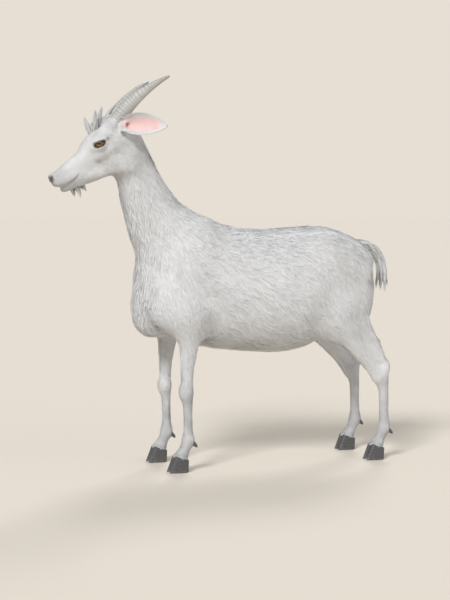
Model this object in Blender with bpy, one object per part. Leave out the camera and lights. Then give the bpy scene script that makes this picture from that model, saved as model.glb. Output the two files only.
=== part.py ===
"""An adult domestic goat with short horns, standing, as a still life-size model.

The body is one smooth form. Named masses (bones, muscle groups and the coat over them) are
distance functions that melt into each other. OpenVDB turns their common surface into a mesh,
Decimate thins it, and box cutters part it into trunk, neck, head, tail and legs with thin cuts.
Ears, horns, eyes, forelock, beard, hooves and dewclaws are solids of their own, each set in a
pocket or on a cut face.

Frame: metres, +Z up. The goat faces -Y, its left side is +X, and its soles stand on Z = 0.
"""

import math

import bmesh
import bpy
import numpy as np
import openvdb
from mathutils import Matrix, Vector

# ---------------------------------------------------------------- driving dimensions (metres)

GAP = 0.0003                    # clearance between solids that touch
FORE_AFT = 0.0531               # shift that puts the middle of the goat's length at Y = 0
FAR_SIDE_STEP = -0.008          # the right legs stand this much further forward
LEFT, RIGHT = 1, -1

HEAD_TILT = 36.0                # degrees the face slopes below the horizontal
POLL = Vector((0.0, -0.385, 0.985))

EYE_RADIUS = 0.0145
EYE_PLACE = (0.090, -0.033, 0.0490)         # along the face, above its axis, to the side

HORN_LENGTH = 0.210
HORN_RADIUS = 0.0205
HORN_TIP_RADIUS = 0.0028
HORN_ROOT = (0.022, -0.016, 0.026)
HORN_RISE = (60.0, 30.0)        # degrees above the horizontal, at the root and at the tip
HORN_SPLAY = (0.16, 0.75)

EAR_LENGTH = 0.130
EAR_HALF_WIDTH = 0.031
EAR_THICKNESS = 0.0036
EAR_ROOT = (0.006, -0.030, 0.0455)

CORONET_FRONT = 0.046           # height of the hoof's upper edge over the toe
CORONET_SLOPE = 17.0            # degrees it falls towards the heel
CLAW_HALF_WIDTH = 0.0112
CLAW_TOE, CLAW_HEEL = 0.0205, 0.0185        # reach of the coronet before and behind its middle
CLAW_TOE_SLOPE, CLAW_HEEL_SLOPE = 0.0180, -0.0010       # how much further the sole reaches
CLAW_SPREAD = 0.0119            # distance of a claw's middle from the foot's middle
FORE_FOOT = (0.087, -0.2205)    # middle of the coronet, across and along
HIND_FOOT = (0.091, 0.3795)
FORE_FETLOCK = (0.087, -0.199, 0.085)
HIND_FETLOCK = (0.091, 0.403, 0.090)

FINE, COARSE = 0.0030, 0.0060   # mesh steps of the head and of the body, before thinning
LOCK_STEP = 0.0022              # mesh step of the forelock and the beard
HEAD_FACES, BODY_FACES = 1500, 3400
LOCK_FACES, BEARD_FACES = 320, 110
FIELD_REACH = 0.08              # a mass is worked out only this near to its box

# ---------------------------------------------------------------- the head's own axes

_tilt = math.radians(HEAD_TILT)
FACE_AXIS = Vector((0.0, -math.cos(_tilt), -math.sin(_tilt)))
BROW_AXIS = Vector((0.0, -math.sin(_tilt), math.cos(_tilt)))


def on_head(along, above, aside=0.0):
    """World point from distances along the face, above its axis and to the goat's left."""
    point = POLL + FACE_AXIS * along + BROW_AXIS * above
    return Vector((aside, point.y, point.z))


# ---------------------------------------------------------------- masses as distance functions

def melt(a, b, width):
    """Smooth minimum of two distances: the masses join with a fillet about this wide."""
    if width <= 0.0:
        return np.minimum(a, b)
    overlap = np.maximum(width - np.abs(a - b), 0.0) / width
    return np.minimum(a, b) - overlap * overlap * (width * 0.25)


def curve_through(rows, steps):
    """Catmull-Rom curve through rows of numbers, with this many steps a span."""
    points = np.array(rows, float)
    ends = np.vstack([2 * points[0] - points[1], points, 2 * points[-1] - points[-2]])
    found = []
    for a, b, c, d in zip(ends[:-3], ends[1:-2], ends[2:-1], ends[3:]):
        for t in np.linspace(0.0, 1.0, steps, endpoint=False):
            found.append(0.5 * (2 * b + (c - a) * t + (2 * a - 5 * b + 4 * c - d) * t ** 2
                                + (3 * b - a - 3 * c + d) * t ** 3))
    return np.array(found + [points[-1]])


class Ellipsoid:
    """A rounded muscle or bone end: centre, half sizes, and turns in degrees about X and Y."""

    def __init__(self, centre, radii, pitch=0.0, roll=0.0):
        turn = Matrix.Rotation(math.radians(pitch), 3, "X") @ Matrix.Rotation(math.radians(roll), 3, "Y")
        self.centre = np.array(centre, float)
        self.radii = np.array(radii, float)
        self.turn = np.array(turn)
        reach = np.sqrt(((self.turn * self.radii) ** 2).sum(1))
        self.low, self.high = self.centre - reach, self.centre + reach

    def distance(self, points):
        local = (points - self.centre) @ self.turn
        k0 = np.sqrt(((local / self.radii) ** 2).sum(1))
        k1 = np.sqrt(((local / self.radii ** 2) ** 2).sum(1))
        return k0 * (k0 - 1.0) / np.maximum(k1, 1e-6)


class Limb:
    """A tapering limb through stations of x, y, z, half width across X and half depth."""

    def __init__(self, stations, steps=6):
        self.rows = curve_through(stations, steps)
        reach = np.maximum(self.rows[:, 3], self.rows[:, 4])[:, None]
        self.low = (self.rows[:, :3] - reach).min(0)
        self.high = (self.rows[:, :3] + reach).max(0)

    def distance(self, points):
        count = len(points)
        nearest = np.full(count, 1e9)
        across = np.zeros(count)
        width = np.ones(count)
        depth = np.ones(count)
        for start, end in zip(self.rows[:-1], self.rows[1:]):
            span = end[:3] - start[:3]
            t = np.clip((points - start[:3]) @ span / max(span @ span, 1e-12), 0.0, 1.0)
            off = points - (start[:3] + t[:, None] * span)
            square = (off * off).sum(1)
            closer = square < nearest
            nearest[closer] = square[closer]
            across[closer] = off[closer, 0] ** 2
            width[closer] = start[3] + t[closer] * (end[3] - start[3])
            depth[closer] = start[4] + t[closer] * (end[4] - start[4])
        rest = np.maximum(nearest - across, 0.0)
        k0 = np.sqrt(across / width ** 2 + rest / depth ** 2)
        k1 = np.sqrt(across / width ** 4 + rest / depth ** 4)
        return np.where(k1 < 1e-6, -np.minimum(width, depth), k0 * (k0 - 1.0) / np.maximum(k1, 1e-6))


class Hull:
    """A long body through stations of place, top, bottom, half width, height of the widest
    place as a share of the depth, and the squareness above and below it."""

    def __init__(self, stations, origin, forward, up, end_round):
        self.rows = curve_through(stations, 8)
        self.origin = np.array(origin, float)
        self.forward = np.array(forward, float)
        self.up = np.array(up, float)
        self.end_round = end_round
        self.side = np.cross(self.up, self.forward)
        corners = [self.origin + self.forward * row[0] + self.up * height + self.side * sign * row[3]
                   for row in self.rows for height in row[1:3] for sign in (LEFT, RIGHT)]
        self.low, self.high = np.min(corners, axis=0), np.max(corners, axis=0)

    def distance(self, points):
        local = points - self.origin
        place = local @ self.forward
        top, bottom, half, share, above, below = (
            np.interp(place, self.rows[:, 0], self.rows[:, column]) for column in range(1, 7))
        middle = bottom + share * (top - bottom)
        height = local @ self.up - middle
        depth = np.maximum(np.where(height > 0, top - middle, middle - bottom), 1e-4)
        power = np.where(height > 0, above, below)
        half = np.maximum(half, 1e-4)
        x = np.abs(local @ self.side) / half + 1e-6
        z = np.abs(height) / depth + 1e-6
        size = (x ** power + z ** power) ** (1.0 / power)
        slope = size ** (1.0 - power) * np.sqrt((x ** (power - 1) / half) ** 2 + (z ** (power - 1) / depth) ** 2)
        found = (size - 1.0) / slope
        found = -melt(-found, self.rows[-1, 0] - place, self.end_round)
        return -melt(-found, place - self.rows[0, 0], self.end_round)


class Form:
    """Masses melted together in order; a carved mass is a groove instead."""

    def __init__(self):
        self.masses = []

    def add(self, mass, width=0.0):
        self.masses.append((mass, width, False))

    def carve(self, mass, width):
        self.masses.append((mass, width, True))

    @property
    def low(self):
        return np.min([mass.low for mass, _, carved in self.masses if not carved], axis=0)

    @property
    def high(self):
        return np.max([mass.high for mass, _, carved in self.masses if not carved], axis=0)

    def distance(self, points):
        found = np.full(len(points), FIELD_REACH)
        for mass, width, carved in self.masses:
            near = np.all((points > mass.low - FIELD_REACH) & (points < mass.high + FIELD_REACH), axis=1)
            if near.any():
                other = mass.distance(points[near])
                found[near] = -melt(-found[near], other, width) if carved else melt(found[near], other, width)
        return found


class Behind:
    """A form cut off past a plane, so that its mesh is closed there."""

    def __init__(self, form, point, normal):
        self.form, self.point, self.normal = form, np.array(point), np.array(normal)
        self.low, self.high = form.low, form.high

    def distance(self, points):
        return np.maximum(self.form.distance(points), (points - self.point) @ self.normal)


# ---------------------------------------------------------------- the goat's masses

def trunk_form():
    form = Form()
    # place, top, bottom, half width, widest place, squareness above and below
    form.add(Hull([(-0.335, 0.545, 0.470, 0.030, 0.50, 2.0, 2.0),
                   (-0.310, 0.585, 0.425, 0.056, 0.50, 2.0, 2.0),
                   (-0.265, 0.635, 0.388, 0.080, 0.48, 2.0, 2.1),
                   (-0.200, 0.682, 0.354, 0.098, 0.46, 1.9, 2.1),
                   (-0.110, 0.684, 0.334, 0.118, 0.45, 1.85, 2.1),
                   (-0.010, 0.670, 0.322, 0.135, 0.44, 1.8, 2.15),
                   (0.080, 0.667, 0.316, 0.144, 0.43, 1.8, 2.2),
                   (0.160, 0.672, 0.324, 0.138, 0.46, 1.8, 2.2),
                   (0.230, 0.674, 0.352, 0.112, 0.56, 1.9, 2.1),
                   (0.290, 0.660, 0.405, 0.088, 0.64, 2.0, 2.0),
                   (0.335, 0.640, 0.465, 0.070, 0.64, 2.0, 2.0),
                   (0.375, 0.610, 0.525, 0.048, 0.60, 2.0, 2.0)],
                  origin=(0, 0, 0), forward=(0, 1, 0), up=(0, 0, 1), end_round=0.04))
    withers = Ellipsoid((0, -0.170, 0.648), (0.028, 0.085, 0.052), pitch=-6)
    form.add(withers, 0.06)
    spine = Limb([(0, -0.10, 0.666, 0.014, 0.014), (0, 0.02, 0.658, 0.013, 0.013),
                  (0, 0.14, 0.663, 0.014, 0.014), (0, 0.25, 0.662, 0.014, 0.014),
                  (0, 0.33, 0.634, 0.013, 0.013)])
    form.add(spine, 0.035)
    brisket = Ellipsoid((0, -0.285, 0.425), (0.045, 0.050, 0.055), pitch=30)
    form.add(brisket, 0.06)
    return form


def neck_form():
    form = Form()
    base, top = Vector((0, -0.120, 0.560)), Vector((0, -0.372, 0.945))
    axis = (top - base).normalized()
    form.add(Hull([(-0.060, 0.105, -0.070, 0.060, 0.50, 2.0, 2.0),
                   (0.000, 0.112, -0.112, 0.074, 0.50, 2.0, 2.0),
                   (0.087, 0.0765, -0.150, 0.072, 0.48, 1.9, 2.0),
                   (0.187, 0.0464, -0.140, 0.058, 0.47, 1.9, 2.0),
                   (0.275, 0.0377, -0.112, 0.049, 0.46, 1.9, 2.0),
                   (0.352, 0.0430, -0.080, 0.045, 0.46, 1.9, 2.0),
                   (0.415, 0.0500, -0.0605, 0.043, 0.46, 2.0, 2.0),
                   (0.470, 0.0430, -0.0500, 0.038, 0.50, 2.0, 2.0)],
                  origin=base, forward=axis, up=Vector((0, axis.z, -axis.y)), end_round=0.04))
    return form


def skull_form():
    form = Form()

    def ball(place, radii, width, tilt=0.0, sides=(LEFT,)):
        along, above, aside = place
        for side in sides:
            form.add(Ellipsoid(on_head(along, above, side * aside), radii, pitch=HEAD_TILT + tilt), width)

    def strip(places, width, carved=False):
        for side in (LEFT, RIGHT):
            limb = Limb([(*on_head(along, above, side * aside), half, depth)
                         for along, above, aside, half, depth in places])
            (form.carve if carved else form.add)(limb, width)

    pair = (LEFT, RIGHT)
    ball((0.036, -0.044, 0), (0.045, 0.058, 0.046), 0.0)                            # braincase
    ball((0.078, -0.030, 0), (0.050, 0.056, 0.032), 0.020)                          # forehead
    form.add(Hull([(0.060, -0.010, -0.100, 0.044, 0.62, 2.4, 2.0),                  # muzzle
                   (0.100, -0.012, -0.100, 0.042, 0.62, 2.5, 2.0),
                   (0.135, -0.017, -0.092, 0.036, 0.58, 2.6, 2.1),
                   (0.170, -0.020, -0.082, 0.030, 0.52, 2.6, 2.2),
                   (0.205, -0.022, -0.074, 0.027, 0.50, 2.5, 2.2),
                   (0.232, -0.026, -0.070, 0.025, 0.50, 2.3, 2.2),
                   (0.250, -0.036, -0.064, 0.019, 0.50, 2.2, 2.2)],
                  origin=POLL, forward=FACE_AXIS, up=BROW_AXIS, end_round=0.014), 0.022)
    strip([(0.028, -0.092, 0.032, 0.013, 0.018), (0.052, -0.116, 0.031, 0.014, 0.018),
           (0.105, -0.104, 0.024, 0.014, 0.017), (0.160, -0.086, 0.015, 0.012, 0.013),
           (0.215, -0.076, 0.008, 0.010, 0.010)], 0.022)                            # jaw bones
    ball((0.066, -0.082, 0.035), (0.016, 0.042, 0.040), 0.022, 20, pair)            # chewing muscle
    ball((0.088, -0.032, 0.044), (0.0145, 0.028, 0.022), 0.014, 0, pair)            # eye rim
    strip([(0.112, -0.056, 0.038, 0.007, 0.008), (0.085, -0.058, 0.046, 0.008, 0.009),
           (0.045, -0.055, 0.046, 0.008, 0.010), (0.015, -0.050, 0.040, 0.008, 0.010)], 0.016)
    ball((0.022, -0.008, 0.026), (0.023, 0.024, 0.018), 0.020, 0, pair)             # horn boss
    ball((0.238, -0.036, 0.012), (0.0115, 0.014, 0.013), 0.010, -10, pair)          # nostril wing
    ball((0.222, -0.056, 0.014), (0.014, 0.026, 0.012), 0.012, -4, pair)            # upper lip
    ball((0.196, -0.064, 0.018), (0.011, 0.030, 0.012), 0.014, -10, pair)           # cheek pad
    ball((0.224, -0.079, 0), (0.0165, 0.020, 0.0105), 0.008, -4)                    # chin
    ball((0.130, -0.100, 0), (0.020, 0.075, 0.014), 0.020, -12)                     # under the jaw
    strip([(0.252, -0.068, 0.000, 0.0022, 0.0022), (0.246, -0.070, 0.012, 0.0022, 0.0022),
           (0.226, -0.0715, 0.0245, 0.0022, 0.0024), (0.200, -0.0715, 0.0290, 0.0020, 0.0024),
           (0.178, -0.066, 0.0325, 0.0020, 0.0022), (0.168, -0.060, 0.0350, 0.0010, 0.0012)],
          0.004, carved=True)                                                       # mouth line
    strip([(0.2535, -0.040, 0.0045, 0.0020, 0.0024), (0.2490, -0.033, 0.0105, 0.0030, 0.0032),
           (0.2400, -0.0285, 0.0180, 0.0022, 0.0026), (0.2300, -0.0275, 0.0235, 0.0010, 0.0014)],
          0.004, carved=True)                                                       # nostrils
    return form


def leg_masses(side, step):
    """Functions that add a ball or a limb to a form, on one side and moved along by step."""
    def ball(form, place, radii, width, pitch=0.0, roll=0.0):
        x, y, z = place
        form.add(Ellipsoid((side * x, y + step, z), radii, pitch, side * roll), width)

    def limb(form, stations, width):
        form.add(Limb([(side * x, y + step, z, half, depth) for x, y, z, half, depth in stations]), width)

    return ball, limb


def fore_leg_form(side, step):
    form = Form()
    ball, limb = leg_masses(side, step)
    ball(form, (0.060, -0.185, 0.570), (0.034, 0.060, 0.125), 0.0, -22, -8)         # shoulder blade
    ball(form, (0.074, -0.262, 0.470), (0.034, 0.048, 0.062), 0.05, -25)            # point of shoulder
    ball(form, (0.078, -0.200, 0.440), (0.034, 0.066, 0.062), 0.05, 20)             # upper arm
    limb(form, [(0.084, -0.200, 0.430, 0.036, 0.052), (0.086, -0.196, 0.375, 0.029, 0.038),
                (0.087, -0.200, 0.325, 0.0225, 0.028), (0.087, -0.203, 0.275, 0.0180, 0.0210),
                (0.087, -0.204, 0.235, 0.0175, 0.0185)], 0.04)                      # forearm
    ball(form, (0.084, -0.160, 0.392), (0.016, 0.020, 0.030), 0.02, -10)            # elbow
    ball(form, (0.087, -0.208, 0.222), (0.0205, 0.0205, 0.027), 0.012)              # knee
    limb(form, [(0.087, -0.203, 0.215, 0.0170, 0.0185), (0.087, -0.201, 0.175, 0.0135, 0.0155),
                (0.087, -0.200, 0.130, 0.0130, 0.0150), (0.087, -0.200, 0.100, 0.0145, 0.0165)],
         0.012)                                                                     # cannon
    ball(form, FORE_FETLOCK, (0.0195, 0.0195, 0.021), 0.012)                        # fetlock
    limb(form, [(0.087, -0.202, 0.080, 0.0170, 0.0165), (0.087, -0.211, 0.062, 0.0180, 0.0170),
                (0.087, -0.219, 0.046, 0.0225, 0.0215)], 0.010)                     # pastern
    return form


def hind_leg_form(side, step):
    form = Form()
    ball, limb = leg_masses(side, step)
    ball(form, (0.060, 0.240, 0.592), (0.036, 0.085, 0.062), 0.0, -12)              # croup
    ball(form, (0.083, 0.205, 0.624), (0.014, 0.028, 0.018), 0.050)                 # hook bone
    ball(form, (0.046, 0.352, 0.585), (0.020, 0.034, 0.028), 0.03, -10)             # pin bone
    ball(form, (0.068, 0.268, 0.490), (0.041, 0.090, 0.118), 0.05, 8)               # thigh
    ball(form, (0.060, 0.336, 0.480), (0.027, 0.045, 0.100), 0.04, -6)              # back of the thigh
    ball(form, (0.088, 0.212, 0.410), (0.030, 0.044, 0.058), 0.045, 20)             # stifle
    limb(form, [(0.086, 0.245, 0.430, 0.036, 0.058), (0.088, 0.278, 0.380, 0.031, 0.046),
                (0.090, 0.316, 0.330, 0.024, 0.033), (0.091, 0.350, 0.287, 0.0180, 0.0245),
                (0.091, 0.378, 0.250, 0.0165, 0.021)], 0.04)                        # second thigh
    limb(form, [(0.085, 0.338, 0.400, 0.010, 0.020), (0.090, 0.376, 0.335, 0.0085, 0.016),
                (0.091, 0.406, 0.280, 0.010, 0.012)], 0.03)                         # heel tendon
    ball(form, (0.090, 0.360, 0.335), (0.008, 0.030, 0.050), 0.02, 30)              # skin before it
    ball(form, (0.091, 0.410, 0.268), (0.0130, 0.0130, 0.024), 0.012)               # point of hock
    ball(form, (0.091, 0.388, 0.245), (0.0205, 0.0240, 0.030), 0.012, -10)          # hock
    limb(form, [(0.091, 0.397, 0.235, 0.0180, 0.0205), (0.091, 0.401, 0.190, 0.0145, 0.0170),
                (0.091, 0.402, 0.140, 0.0138, 0.0162), (0.091, 0.403, 0.105, 0.015, 0.017)],
         0.012)                                                                     # cannon
    ball(form, HIND_FETLOCK, (0.0200, 0.0200, 0.0215), 0.012)                       # fetlock
    limb(form, [(0.091, 0.400, 0.084, 0.0170, 0.0168), (0.091, 0.390, 0.064, 0.0180, 0.0170),
                (0.091, 0.381, 0.047, 0.0225, 0.0215)], 0.010)                      # pastern
    return form


def tail_form():
    """Tail bone in its thick hair, and the ragged end in locks of four lengths."""
    form = Form()
    form.add(Limb([(0, 0.330, 0.620, 0.024, 0.020), (0, 0.372, 0.623, 0.027, 0.022),
                   (0, 0.408, 0.608, 0.030, 0.024), (0, 0.430, 0.578, 0.030, 0.024),
                   (0, 0.436, 0.550, 0.025, 0.020)]))
    for aside, back, length in ((0.000, 0.013, 0.050), (-0.016, 0.004, 0.066),
                                (0.016, 0.002, 0.072), (0.000, -0.012, 0.058)):
        form.add(Limb([(aside * 0.7, 0.434 + back * 0.5, 0.560, 0.012, 0.012),
                       (aside, 0.436 + back, 0.534, 0.009, 0.010),
                       (aside * 1.2, 0.436 + back * 1.5, 0.548 - length, 0.0022, 0.0022)]), 0.006)
    return form


def body_form():
    """The whole goat without horns, ears, eyes and hooves."""
    form = Form()
    form.add(trunk_form())
    form.add(neck_form(), 0.06)
    for side, step in ((LEFT, 0.0), (RIGHT, FAR_SIDE_STEP)):
        form.add(fore_leg_form(side, step), 0.035)
    for side, step in ((LEFT, 0.0), (RIGHT, FAR_SIDE_STEP)):
        form.add(hind_leg_form(side, step), 0.035)
    form.add(skull_form(), 0.03)
    form.add(tail_form(), 0.02)
    return form


def forelock_form():
    """A fan of pointed locks, from the brow over the poll to the nape."""
    form = Form()
    form.add(Limb([(*on_head(0.082, -0.002), 0.010, 0.007), (*on_head(0.040, 0.002), 0.012, 0.008),
                   (*on_head(0.000, -0.008), 0.011, 0.008)]))
    count = 7
    for number in range(count):
        share = number / (count - 1)
        rise = math.radians(110 - 88 * share)
        side = LEFT if number % 2 else RIGHT
        reach = 0.050 + 0.018 * math.sin(math.pi * share)
        root = on_head(0.080 - 0.082 * share, 0.000, 0.006 * side)
        way = Vector((0.20 * side, math.cos(rise), math.sin(rise))).normalized()
        bend = Vector((0, 0.22 * share, -0.08 * share)) * reach
        form.add(Limb([(*root, 0.0095, 0.0095), (*(root + way * reach * 0.5), 0.0062, 0.0068),
                       (*(root + way * reach + bend), 0.0014, 0.0014)]), 0.006)
    return form


def beard_form():
    """A small ragged beard under the chin, in three locks that start as one."""
    form = Form()
    form.add(Limb([(*on_head(0.208, -0.080), 0.0090, 0.0060), (*on_head(0.174, -0.082), 0.0090, 0.0070)]))
    for aside, back, length in ((-0.003, 0.000, 0.036), (0.003, 0.015, 0.048), (0.0, 0.030, 0.038)):
        root = on_head(0.205 - back, -0.082, aside)
        form.add(Limb([(*root, 0.0095, 0.0110),
                       (*(root + Vector((0, 0.003 + back * 0.1, -length * 0.45))), 0.0070, 0.0085),
                       (*(root + Vector((0, 0.009 + back * 0.3, -length))), 0.0016, 0.0018)]), 0.005)
    return form


# ---------------------------------------------------------------- fields to meshes

def polygonise(form, step):
    """Closed mesh of a form's surface: a coarse grid everywhere, a fine one near the surface."""
    margin = 0.012
    ratio = 3
    coarse = step * ratio
    low, high = form.low - margin, form.high + margin
    counts = np.ceil((high - low) / coarse).astype(int) + 1
    axes = [low[i] + (np.arange(counts[i]) + 0.5) * coarse - 0.5 * step for i in range(3)]
    nodes = np.stack(np.meshgrid(*axes, indexing="ij"), -1).reshape(-1, 3)
    values = form.distance(nodes).reshape(counts)
    for axis in range(3):
        values = np.repeat(values, ratio, axis=axis)
    near = np.abs(values) < coarse * 1.3
    values[near] = form.distance(low + np.argwhere(near) * step)
    grid = openvdb.FloatGrid(1.0)
    grid.copyFromArray(values.astype(np.float32))
    grid.transform = openvdb.createLinearTransform(voxelSize=step)
    points, quads = grid.convertToQuads(isovalue=0.0)
    mesh = bpy.data.meshes.new("form")
    mesh.from_pydata((points + low + (0, FORE_AFT, 0)).tolist(), [], quads.tolist())
    return mesh


def thinned(mesh, faces, name):
    """The mesh as triangles, thinned by a Decimate modifier to about this many."""
    holder = bpy.data.objects.new(name, mesh)
    bpy.context.scene.collection.objects.link(holder)
    decimate = holder.modifiers.new("thin", "DECIMATE")
    decimate.ratio = faces / (2 * len(mesh.polygons))
    bpy.context.view_layer.update()
    evaluated = holder.evaluated_get(bpy.context.evaluated_depsgraph_get())
    result = bpy.data.meshes.new_from_object(evaluated)
    result.name = name
    bpy.data.objects.remove(holder)
    bpy.data.meshes.remove(mesh)
    return result


# ---------------------------------------------------------------- scene helpers

def collection(name):
    found = bpy.data.collections.new(name)
    bpy.context.scene.collection.children.link(found)
    return found


def material(name, colour, roughness):
    found = bpy.data.materials.new(name)
    found.use_nodes = True
    shader = found.node_tree.nodes["Principled BSDF"]
    shader.inputs["Base Color"].default_value = (*colour, 1.0)
    shader.inputs["Roughness"].default_value = roughness
    return found


def place(name, mesh, home, dress=None):
    """Object with this mesh in a collection; a node gets a copy of its material."""
    found = bpy.data.objects.new(name, mesh)
    home.objects.link(found)
    if dress:
        own = dress.copy()
        own.name = name
        mesh.materials.append(own)
    else:
        found.hide_render = True
        found.display_type = "WIRE"
    return found


def cut(target, cutter, operation):
    modifier = target.modifiers.new(cutter.name, "BOOLEAN")
    modifier.operation = operation
    modifier.object = cutter
    modifier.solver = "EXACT"


def mesh_from(build, name):
    """Run a bmesh builder and keep its result with the faces turned outwards."""
    work = bmesh.new()
    build(work)
    bmesh.ops.recalc_face_normals(work, faces=work.faces)
    mesh = bpy.data.meshes.new(name)
    work.to_mesh(mesh)
    work.free()
    mesh.shade_smooth()
    mesh.set_sharp_from_angle(angle=math.radians(40))
    return mesh


def skin_rings(work, rings):
    """Closed skin over rings of points, with a flat cap at each end."""
    loops = [[work.verts.new(point) for point in ring] for ring in rings]
    for lower, upper in zip(loops[:-1], loops[1:]):
        for index in range(len(lower)):
            after = (index + 1) % len(lower)
            work.faces.new((lower[index], lower[after], upper[after], upper[index]))
    work.faces.new(loops[0])
    work.faces.new(loops[-1])


# ---------------------------------------------------------------- solids of their own

def region_mesh(name, point, direction, size, grow):
    """Box that starts at a plane through point and reaches along direction."""
    def build(work):
        bmesh.ops.create_cube(work, size=1.0)
        turn = Vector(direction).to_track_quat("Z", "Y").to_matrix().to_4x4()
        wide, high, deep = size
        scale = Matrix.Diagonal((wide + 2 * grow, high + 2 * grow, deep + 2 * grow, 1.0))
        middle = Vector(point) + Vector(direction).normalized() * (deep / 2) + Vector((0, FORE_AFT, 0))
        bmesh.ops.transform(work, matrix=Matrix.Translation(middle) @ turn @ scale, verts=work.verts)
    return mesh_from(build, name)


def horn_mesh(name, side, grow):
    """Curved horn that sweeps up and back, oval across, thinning to a blunt tip."""
    rings_count, sides = 8, 12

    def build(work):
        point = on_head(HORN_ROOT[0], HORN_ROOT[1], side * HORN_ROOT[2]) + Vector((0, FORE_AFT, 0))
        rings = []
        for number in range(rings_count + 1):
            share = number / rings_count
            rise = math.radians(HORN_RISE[0] + (HORN_RISE[1] - HORN_RISE[0]) * share)
            splay = HORN_SPLAY[0] + (HORN_SPLAY[1] - HORN_SPLAY[0]) * share ** 2
            way = Vector((side * splay, math.cos(rise), math.sin(rise))).normalized()
            if number:
                point = point + way * (HORN_LENGTH / rings_count)
            radius = HORN_RADIUS + (HORN_TIP_RADIUS - HORN_RADIUS) * share ** 1.5 + grow
            across = way.cross(Vector((0, 0, 1))).normalized()
            front = across.cross(way)
            reach = grow * (1 if number else -1)
            rings.append([point + way * reach
                          + across * (0.86 * radius * math.cos(2 * math.pi * k / sides))
                          + front * (1.10 * radius * math.sin(2 * math.pi * k / sides))
                          for k in range(sides)])
        skin_rings(work, rings)
    return mesh_from(build, name)


def ear_mesh(name, side, grow):
    """Cupped leaf-shaped ear, held out and back with its hollow side forwards."""
    lengths, widths = 10, 5

    def build(work):
        way = Vector((side * 0.62, 0.74, 0.08)).normalized()
        face = Vector((side * 0.70, -0.70, 0.12))
        face = (face - way * face.dot(way)).normalized()
        wide = way.cross(face)
        root = on_head(EAR_ROOT[0], EAR_ROOT[1], side * EAR_ROOT[2]) + Vector((0, FORE_AFT, 0))
        sheets = []
        for offset in (1, -1):
            sheet = []
            for i in range(lengths):
                share = i / (lengths - 1)
                half = EAR_HALF_WIDTH * math.sin(math.pi * share ** 0.78) ** 0.62 if share < 1 else 0.0
                half = max(half, 0.016 * (1 - share) + 0.004) + grow
                row = []
                for j in range(widths):
                    v = 2 * j / (widths - 1) - 1
                    cup = (0.55 * half * (1 - 0.6 * share) + 0.012 * (1 - share) ** 2) * v * v
                    thick = (EAR_THICKNESS / 2) * (1 - 0.45 * v * v) + grow
                    reach = EAR_LENGTH * share - (grow if i == 0 else 0)
                    row.append(work.verts.new(root + way * reach + wide * (half * v)
                                              + face * (cup - 0.004 + offset * thick)
                                              + Vector((0, 0, -0.012 * share * share))))
                sheet.append(row)
            sheets.append(sheet)
        inner, outer = sheets
        for i in range(lengths - 1):
            for j in range(widths - 1):
                work.faces.new((inner[i][j], inner[i + 1][j], inner[i + 1][j + 1], inner[i][j + 1]))
                work.faces.new((outer[i][j], outer[i][j + 1], outer[i + 1][j + 1], outer[i + 1][j]))
            for j in (0, widths - 1):
                work.faces.new((inner[i][j], outer[i][j], outer[i + 1][j], inner[i + 1][j]))
        for i in (0, lengths - 1):
            for j in range(widths - 1):
                work.faces.new((inner[i][j], inner[i][j + 1], outer[i][j + 1], outer[i][j]))
    return mesh_from(build, name)


def eye_mesh(name, side, grow):
    def build(work):
        bmesh.ops.create_uvsphere(work, u_segments=12, v_segments=8, radius=EYE_RADIUS + grow)
        centre = on_head(EYE_PLACE[0], EYE_PLACE[1], side * EYE_PLACE[2]) + Vector((0, FORE_AFT, 0))
        turn = Matrix.Rotation(math.radians(90), 4, "Y")
        bmesh.ops.transform(work, matrix=Matrix.Translation(centre) @ turn, verts=work.verts)
    return mesh_from(build, name)


def claw_mesh(name, foot, side, step, half_of_foot):
    """One claw of a cloven hoof: flat sole, sloping wall, and a top that falls to the heel."""
    sides = 14
    shares = (0.0, 0.25, 0.62, 1.0)
    fall = math.tan(math.radians(CORONET_SLOPE))

    def build(work):
        middle_x = side * foot[0] + half_of_foot * CLAW_SPREAD
        middle_y = foot[1] + step + FORE_AFT
        rings = []
        for share in shares:
            ring = []
            for k in range(sides):
                turn = 2 * math.pi * k / sides
                cosine, sine = math.cos(turn), math.sin(turn)
                ahead = max(0.0, -sine)
                half = CLAW_HALF_WIDTH * (0.97 + 0.07 * math.sin(math.pi * min(share * 1.4, 1.0)))
                coronet = CLAW_TOE if sine < 0 else CLAW_HEEL
                reach = coronet + (CLAW_TOE_SLOPE if sine < 0 else CLAW_HEEL_SLOPE) * share
                x = half * cosine * (1 - (0.10 + 0.22 * share) * ahead ** 2)
                top = CORONET_FRONT - GAP - fall * (CLAW_TOE + coronet * sine)
                ring.append((middle_x + x + half_of_foot * 0.0018 * ahead * share,
                             middle_y + reach * sine, top * (1 - share)))
            rings.append(ring)
        skin_rings(work, rings)
    return mesh_from(build, name)


def dewclaw_mesh(name, fetlock, side, step, half_of_foot, grow):
    """Small blunt cone behind the fetlock, pointing down and back."""
    def build(work):
        bmesh.ops.create_cone(work, cap_ends=True, segments=8, radius1=0.0062 + grow,
                              radius2=0.0034 + grow, depth=0.017 + 2 * grow)
        way = Vector((half_of_foot * 0.25, 0.62, -0.74)).normalized()
        centre = Vector((side * fetlock[0] + half_of_foot * 0.0105,
                         fetlock[1] + step + FORE_AFT + 0.0165, fetlock[2] - 0.0100))
        turn = way.to_track_quat("Z", "X").to_matrix().to_4x4()
        bmesh.ops.transform(work, matrix=Matrix.Translation(centre) @ turn, verts=work.verts)
    return mesh_from(build, name)


def swollen(mesh, name, grow):
    """Copy of a mesh with its points moved out along their normals."""
    work = bmesh.new()
    work.from_mesh(mesh)
    work.normal_update()
    for vertex in work.verts:
        vertex.co += vertex.normal * grow
    result = bpy.data.meshes.new(name)
    work.to_mesh(result)
    work.free()
    return result


# ---------------------------------------------------------------- the cuts between flesh nodes

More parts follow.
